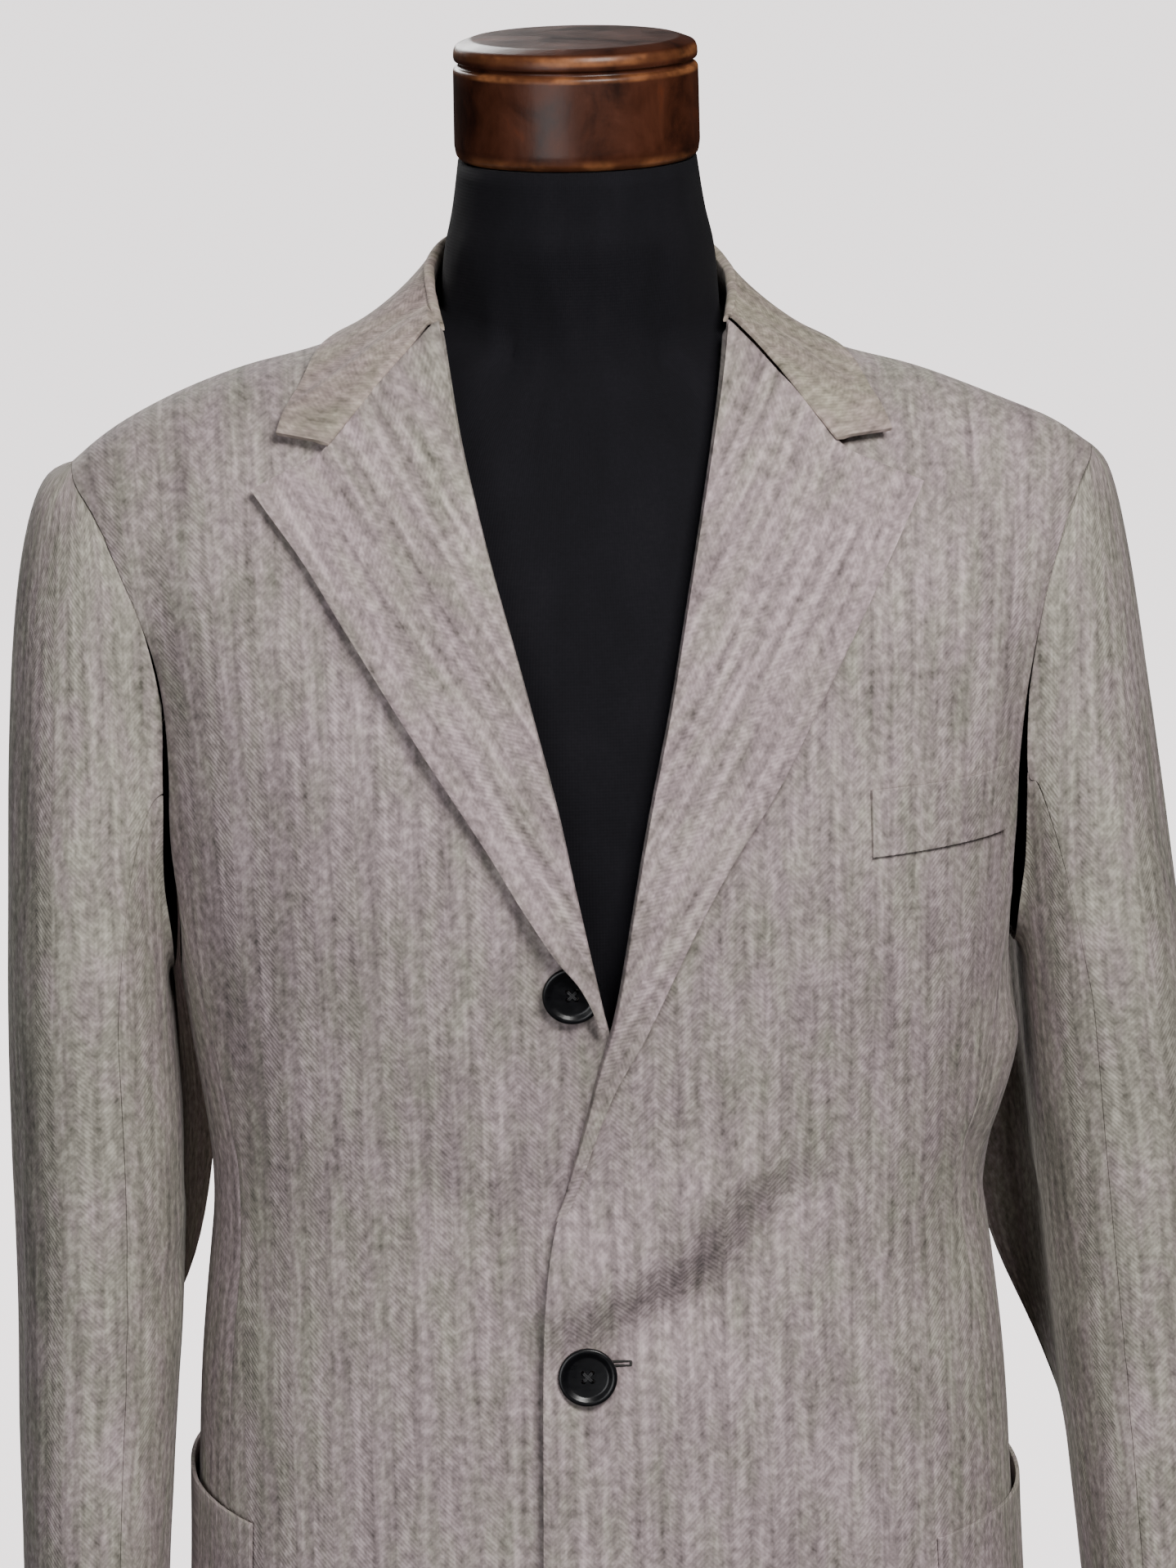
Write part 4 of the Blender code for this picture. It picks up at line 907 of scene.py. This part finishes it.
def rounded(corners, radius, segments=4):
    """A profile whose inner corners are arcs; the two ends stay on the axis."""
    out = [corners[0]]
    for before, corner, after in zip(corners, corners[1:], corners[2:]):
        a, b, c = Vector(before), Vector(corner), Vector(after)
        reach = min(radius, (a - b).length * 0.45, (c - b).length * 0.45)
        start, end = b + (a - b).normalized() * reach, b + (c - b).normalized() * reach
        for i in range(segments + 1):
            f = i / segments
            point = start * (1 - f)**2 + b * (2 * f * (1 - f)) + end * f**2
            out.append((point.x, point.y))
    out.append(corners[-1])
    return out


def disc_place(node):
    """Where a button's underside is, which way it faces, and its radius and thickness."""
    points = points_of(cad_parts[node].data)
    points = np.unique(points.round(6), axis=0)
    middle = points.mean(axis=0)
    axis = np.linalg.svd(points - middle)[2][2]
    if axis[1] > 0.0:
        axis = -axis
    along = (points - middle) @ axis
    radius = np.linalg.norm((points - middle) - np.outer(along, axis), axis=1).max()
    return Vector(middle + axis * along.min()), Vector(axis), radius, float(along.max() - along.min())


def cut_holes(mesh, radius, spread, low, high):
    """Drill a button's sewing holes."""
    body = add_object("drill_body", mesh)
    bm = bmesh.new()
    for i in range(BUTTON_HOLES):
        turn = math.pi / 4 + i * 2.0 * math.pi / BUTTON_HOLES
        place = Matrix.Translation((spread * math.cos(turn), spread * math.sin(turn), (low + high) / 2))
        bmesh.ops.create_cone(bm, cap_ends=True, segments=20, radius1=radius, radius2=radius,
                              depth=(high - low) * 2.0, matrix=place)
    cutter = add_object("drill", mesh_from(bm, "drill"))
    drill = body.modifiers.new("Holes", "BOOLEAN")
    drill.operation = "DIFFERENCE"
    drill.solver = "EXACT"
    drill.object = cutter
    made = evaluated_copy(body)
    for extra in (body, cutter):
        bpy.data.objects.remove(extra)
    return made


def stitch_bars(spread, height, low):
    """Thread through the four holes, as two crossing pairs of bars that dip at their ends."""
    bm = bmesh.new()
    for turn in (math.pi / 4, 3 * math.pi / 4):
        c, s = math.cos(turn), math.sin(turn)
        across = Matrix.Rotation(turn, 4, "Z") @ Matrix.Rotation(math.pi / 2, 4, "Y")
        for aside in (-STITCH_RADIUS, STITCH_RADIUS):
            rings = []
            for i in range(STITCH_POINTS):
                t = i / (STITCH_POINTS - 1.0) * 2.0 - 1.0
                run = spread * max(-1.0, min(1.0, t * 1.25))
                rise = height - (height - low) * max(0.0, abs(t) - 0.78) / 0.22
                middle = Matrix.Translation((run * c - aside * s, run * s + aside * c, rise))
                ring = bmesh.ops.create_circle(bm, segments=STITCH_SIDES, radius=STITCH_RADIUS,
                                               matrix=middle @ across)
                rings.append(ring["verts"])
            bridge(bm, rings)
            bm.faces.new(rings[0])
            bm.faces.new(rings[-1])
    bmesh.ops.recalc_face_normals(bm, faces=bm.faces)
    return mesh_from(bm, "thread")


class BLAZER_OT_buttons(bpy.types.Operator):
    """Turn the two horn buttons, drill them and sew them on"""
    bl_idname = "blazer.buttons"
    bl_label = "Buttons"

    def execute(self, context):
        trim = context.scene.blazer_trim
        horn = make_horn("button_horn", trim)
        thread = make_thread("black_thread", (0.020, 0.020, 0.022))
        for node in ("button_upper", "button_lower"):
            base, axis, r, thick = disc_place(node)
            low = thick * 0.22
            dish = thick * 0.66
            corners = [(0.0, 0.0), (r * 0.24, 0.0), (r * 0.28, low), (r * 0.82, low),
                       (r, low + (thick - low) * 0.45), (r * 0.97, thick * 0.93), (r * 0.90, thick),
                       (r - trim.rim * 0.8, thick * 0.97), (r - trim.rim * 1.5, dish),
                       (0.0, dish * 0.97)]
            mesh = spun(rounded(corners, 0.0006), 72, node)
            mesh = cut_holes(mesh, trim.hole, r * BUTTON_SPREAD, low * 0.5, thick)
            turn = Vector((0, 0, 1)).rotation_difference(axis).to_matrix().to_4x4()
            place = Matrix.Translation(base) @ turn
            mesh.transform(place)
            made = object_from(mesh, "horn_" + node, horn, "horn", node)
            made.data.set_sharp_from_angle(angle=math.radians(35.0))
            sewn = stitch_bars(r * BUTTON_SPREAD, dish + 0.0004, low * 0.7)
            sewn.transform(place)
            object_from(sewn, "thread_" + node, thread, "horn")
        return {"FINISHED"}


class BLAZER_OT_buttonhole(bpy.types.Operator):
    """Sew the buttonhole of the fastened lower button"""
    bl_idname = "blazer.buttonhole"
    bl_label = "Buttonhole"

    def execute(self, context):
        base = disc_place("button_lower")[0]
        half = context.scene.blazer_trim.buttonhole / 2.0
        middle = Vector((base.x + half - 0.0020, 0.0, base.z + 0.0040))
        front = bpy.data.objects["cloth_front_left"]
        tree = BVHTree.FromObject(front, bpy.context.evaluated_depsgraph_get())
        bm = bmesh.new()
        rings = []
        for i in range(HOLE_POINTS):
            turn = 2.0 * math.pi * i / HOLE_POINTS
            straight = (half - HOLE_REACH) * max(-1.0, min(1.0, 1.25 * math.cos(turn)))
            x = middle.x + straight + HOLE_REACH * math.cos(turn)
            z = middle.z + HOLE_REACH * max(-1.0, min(1.0, 1.6 * math.sin(turn)))
            hit, normal, _, _ = tree.ray_cast(Vector((x, -1.0, z)), Vector((0, 1, 0)))
            side = Vector((-math.sin(turn), 0.0, math.cos(turn))).cross(normal).normalized()
            size = HOLE_THREAD * (1.0 + 0.22 * (i % 2))
            rings.append([bm.verts.new(hit + normal * 0.0003
                                       + (side * math.cos(a) + normal * math.sin(a)) * size)
                          for a in (2.0 * math.pi * k / STITCH_SIDES for k in range(STITCH_SIDES))])
        bridge(bm, rings + rings[:1])
        bmesh.ops.recalc_face_normals(bm, faces=bm.faces)
        finish = make_thread("dark_thread", (0.022, 0.020, 0.019))
        object_from(mesh_from(bm, "buttonhole"), "buttonhole", finish, "tweed")
        return {"FINISHED"}


class BLAZER_OT_form(bpy.types.Operator):
    """Cover the dress form in black jersey"""
    bl_idname = "blazer.form"
    bl_label = "Dress form"

    def execute(self, context):
        jersey = make_jersey("form_jersey", context.scene.blazer_trim)
        mesh = skin_through("form_torso", 2)
        points = points_of(mesh)
        turn = np.arctan2(points[:, 0], -points[:, 1])
        set_weave(mesh, np.column_stack((turn * 0.10, points[:, 2])))
        object_from(mesh, "jersey_form_torso", jersey, "jersey", "form_torso")
        return {"FINISHED"}


class BLAZER_OT_cap(bpy.types.Operator):
    """Turn the lacquered neck cap"""
    bl_idname = "blazer.cap"
    bl_label = "Neck cap"

    def execute(self, context):
        low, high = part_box("neck_cap")
        r, top, bottom = high.x, high.z, low.z
        wood = make_wood("cap_wood", context.scene.blazer_trim, bottom, top)
        corners = [(0.0, bottom), (r * 0.945, bottom), (r * 0.985, bottom + 0.0022), (r, bottom + 0.007),
                   *((r * share, top - drop) for share, drop in CAP_RIM), (0.0, top)]
        mesh = spun(rounded(corners, 0.0010, 3), 96, "neck_cap")
        object_from(mesh, "wood_neck_cap", wood, "lacquered_wood", "neck_cap")
        return {"FINISHED"}


class BLAZER_OT_stand(bpy.types.Operator):
    """Turn the stand's post and base"""
    bl_idname = "blazer.stand"
    bl_label = "Stand"

    def execute(self, context):
        metal = make_metal("stand_metal")
        low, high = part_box("stand_post")
        foot, seat, wide = low.z, high.z, high.x
        post = [(0.0, foot), (0.034, foot), (0.034, foot + 0.008), (0.020, foot + 0.016),
                (0.018, foot + 0.020), (0.018, seat - 0.016), (wide, seat - 0.006), (wide, seat),
                (0.0, seat)]
        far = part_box("stand_base")[1]
        base = [(0.0, 0.0), (far.x - 0.004, 0.0), (far.x, 0.004), (far.x, 0.012), (far.x - 0.006, 0.017),
                (0.060, far.z), (0.0, far.z)]
        for piece, corners, steps in (("post", post, 64), ("base", base, 128)):
            mesh = spun(rounded(corners, 0.0020), steps, piece)
            object_from(mesh, "metal_stand_" + piece, metal, "black_metal", "stand_" + piece)
        return {"FINISHED"}


def area_light(name, power, place, size, colour):
    data = bpy.data.lights.new(name, "AREA")
    data.shape = "RECTANGLE"
    data.size, data.size_y = size
    data.energy = power
    data.color = colour
    made = add_object(name, data)
    made.location = place
    made.rotation_euler = (Vector(LIGHT_AIM) - Vector(place)).to_track_quat("-Z", "Y").to_euler()


def add_camera():
    """The photograph's view: slightly from above and from the wearer's right."""
    data = bpy.data.cameras.new("camera")
    data.sensor_fit = "VERTICAL"
    data.sensor_height = SENSOR
    data.lens = SENSOR / FRAME_HEIGHT * CAMERA_AWAY
    data.clip_start = 0.05
    back = Vector((math.sin(CAMERA_TURN) * math.cos(CAMERA_DROP),
                   -math.cos(CAMERA_TURN) * math.cos(CAMERA_DROP), math.sin(CAMERA_DROP)))
    level = Vector((math.cos(CAMERA_TURN), math.sin(CAMERA_TURN), 0.0))
    rise = level.cross(-back)
    right = level * math.cos(CAMERA_ROLL) + rise * math.sin(CAMERA_ROLL)
    up = rise * math.cos(CAMERA_ROLL) - level * math.sin(CAMERA_ROLL)
    shift = AIM_PIXEL_X * FRAME_HEIGHT / PICTURE_TALL
    place = Vector((shift * right.x, shift * right.y, AIM_Z)) + back * CAMERA_AWAY
    made = add_object("camera", data)
    made.matrix_world = Matrix.Translation(place) @ Matrix((right, up, back)).transposed().to_4x4()
    bpy.context.scene.camera = made


def add_backdrop(stage):
    """A floor that runs up into a wall all round through a wide curve."""
    corners = ((0.0, 0.0), (WALL_AWAY, 0.0), (WALL_AWAY, WALL_TALL))
    mesh = spun(rounded(corners, WALL_CURVE, 12), 64, "backdrop")
    mesh.shade_smooth()
    mesh.materials.append(make_backdrop("backdrop_paint", stage))
    made = add_object("backdrop", mesh)
    made.visible_diffuse = False  # the pale wall all round lights no cloth
    made.visible_glossy = False  # and isn't mirrored in the lacquer


class BLAZER_OT_stage(bpy.types.Operator):
    """Floor, lights and camera"""
    bl_idname = "blazer.stage"
    bl_label = "Stage"

    def execute(self, context):
        stage = context.scene.blazer_stage
        add_camera()
        add_backdrop(stage)
        for kind, (place, size, colour) in LIGHTS.items():
            area_light(kind + "_light", getattr(stage, kind), place, size, colour)
        world = context.scene.world or bpy.data.worlds.new("studio")
        context.scene.world = world
        world.use_nodes = True
        shade = world.node_tree.nodes["Background"]
        shade.inputs["Color"].default_value = ROOM_COLOUR
        shade.inputs["Strength"].default_value = stage.air
        return {"FINISHED"}


class BLAZER_PT_panel(bpy.types.Panel):
    """The blazer's pieces, in the 3D view's sidebar"""
    bl_idname = "BLAZER_PT_panel"
    bl_label = "Blazer"
    bl_space_type = "VIEW_3D"
    bl_region_type = "UI"
    bl_category = "Blazer"

    def draw(self, context):
        for operator in OPERATORS:
            self.layout.operator(operator.bl_idname)
        for name, kind in SETTINGS.items():
            box = self.layout.box()
            for field in kind.__annotations__:
                box.prop(getattr(context.scene, name), field)


OPERATORS = (BLAZER_OT_form, BLAZER_OT_cap, BLAZER_OT_stand, BLAZER_OT_body, BLAZER_OT_sleeves,
             BLAZER_OT_lapels, BLAZER_OT_pockets, BLAZER_OT_buttons, BLAZER_OT_buttonhole,
             BLAZER_OT_stage)
SETTINGS = {"blazer_cloth": ClothSettings, "blazer_trim": TrimSettings, "blazer_stage": StageSettings}


def register():
    for kind in (*SETTINGS.values(), *OPERATORS, BLAZER_PT_panel):
        bpy.utils.register_class(kind)
    for name, kind in SETTINGS.items():
        setattr(bpy.types.Scene, name, bpy.props.PointerProperty(type=kind))


def unregister():
    for name in SETTINGS:
        delattr(bpy.types.Scene, name)
    for kind in (BLAZER_PT_panel, *reversed(OPERATORS), *SETTINGS.values()):
        bpy.utils.unregister_class(kind)


def main():
    register()
    bpy.ops.blazer.form()
    bpy.ops.blazer.cap()
    bpy.ops.blazer.stand()
    bpy.ops.blazer.body()
    bpy.ops.blazer.sleeves()
    bpy.ops.blazer.lapels()
    bpy.ops.blazer.pockets()
    bpy.ops.blazer.buttons()
    bpy.ops.blazer.buttonhole()
    bpy.ops.blazer.stage()


if __name__ == "__main__":
    main()
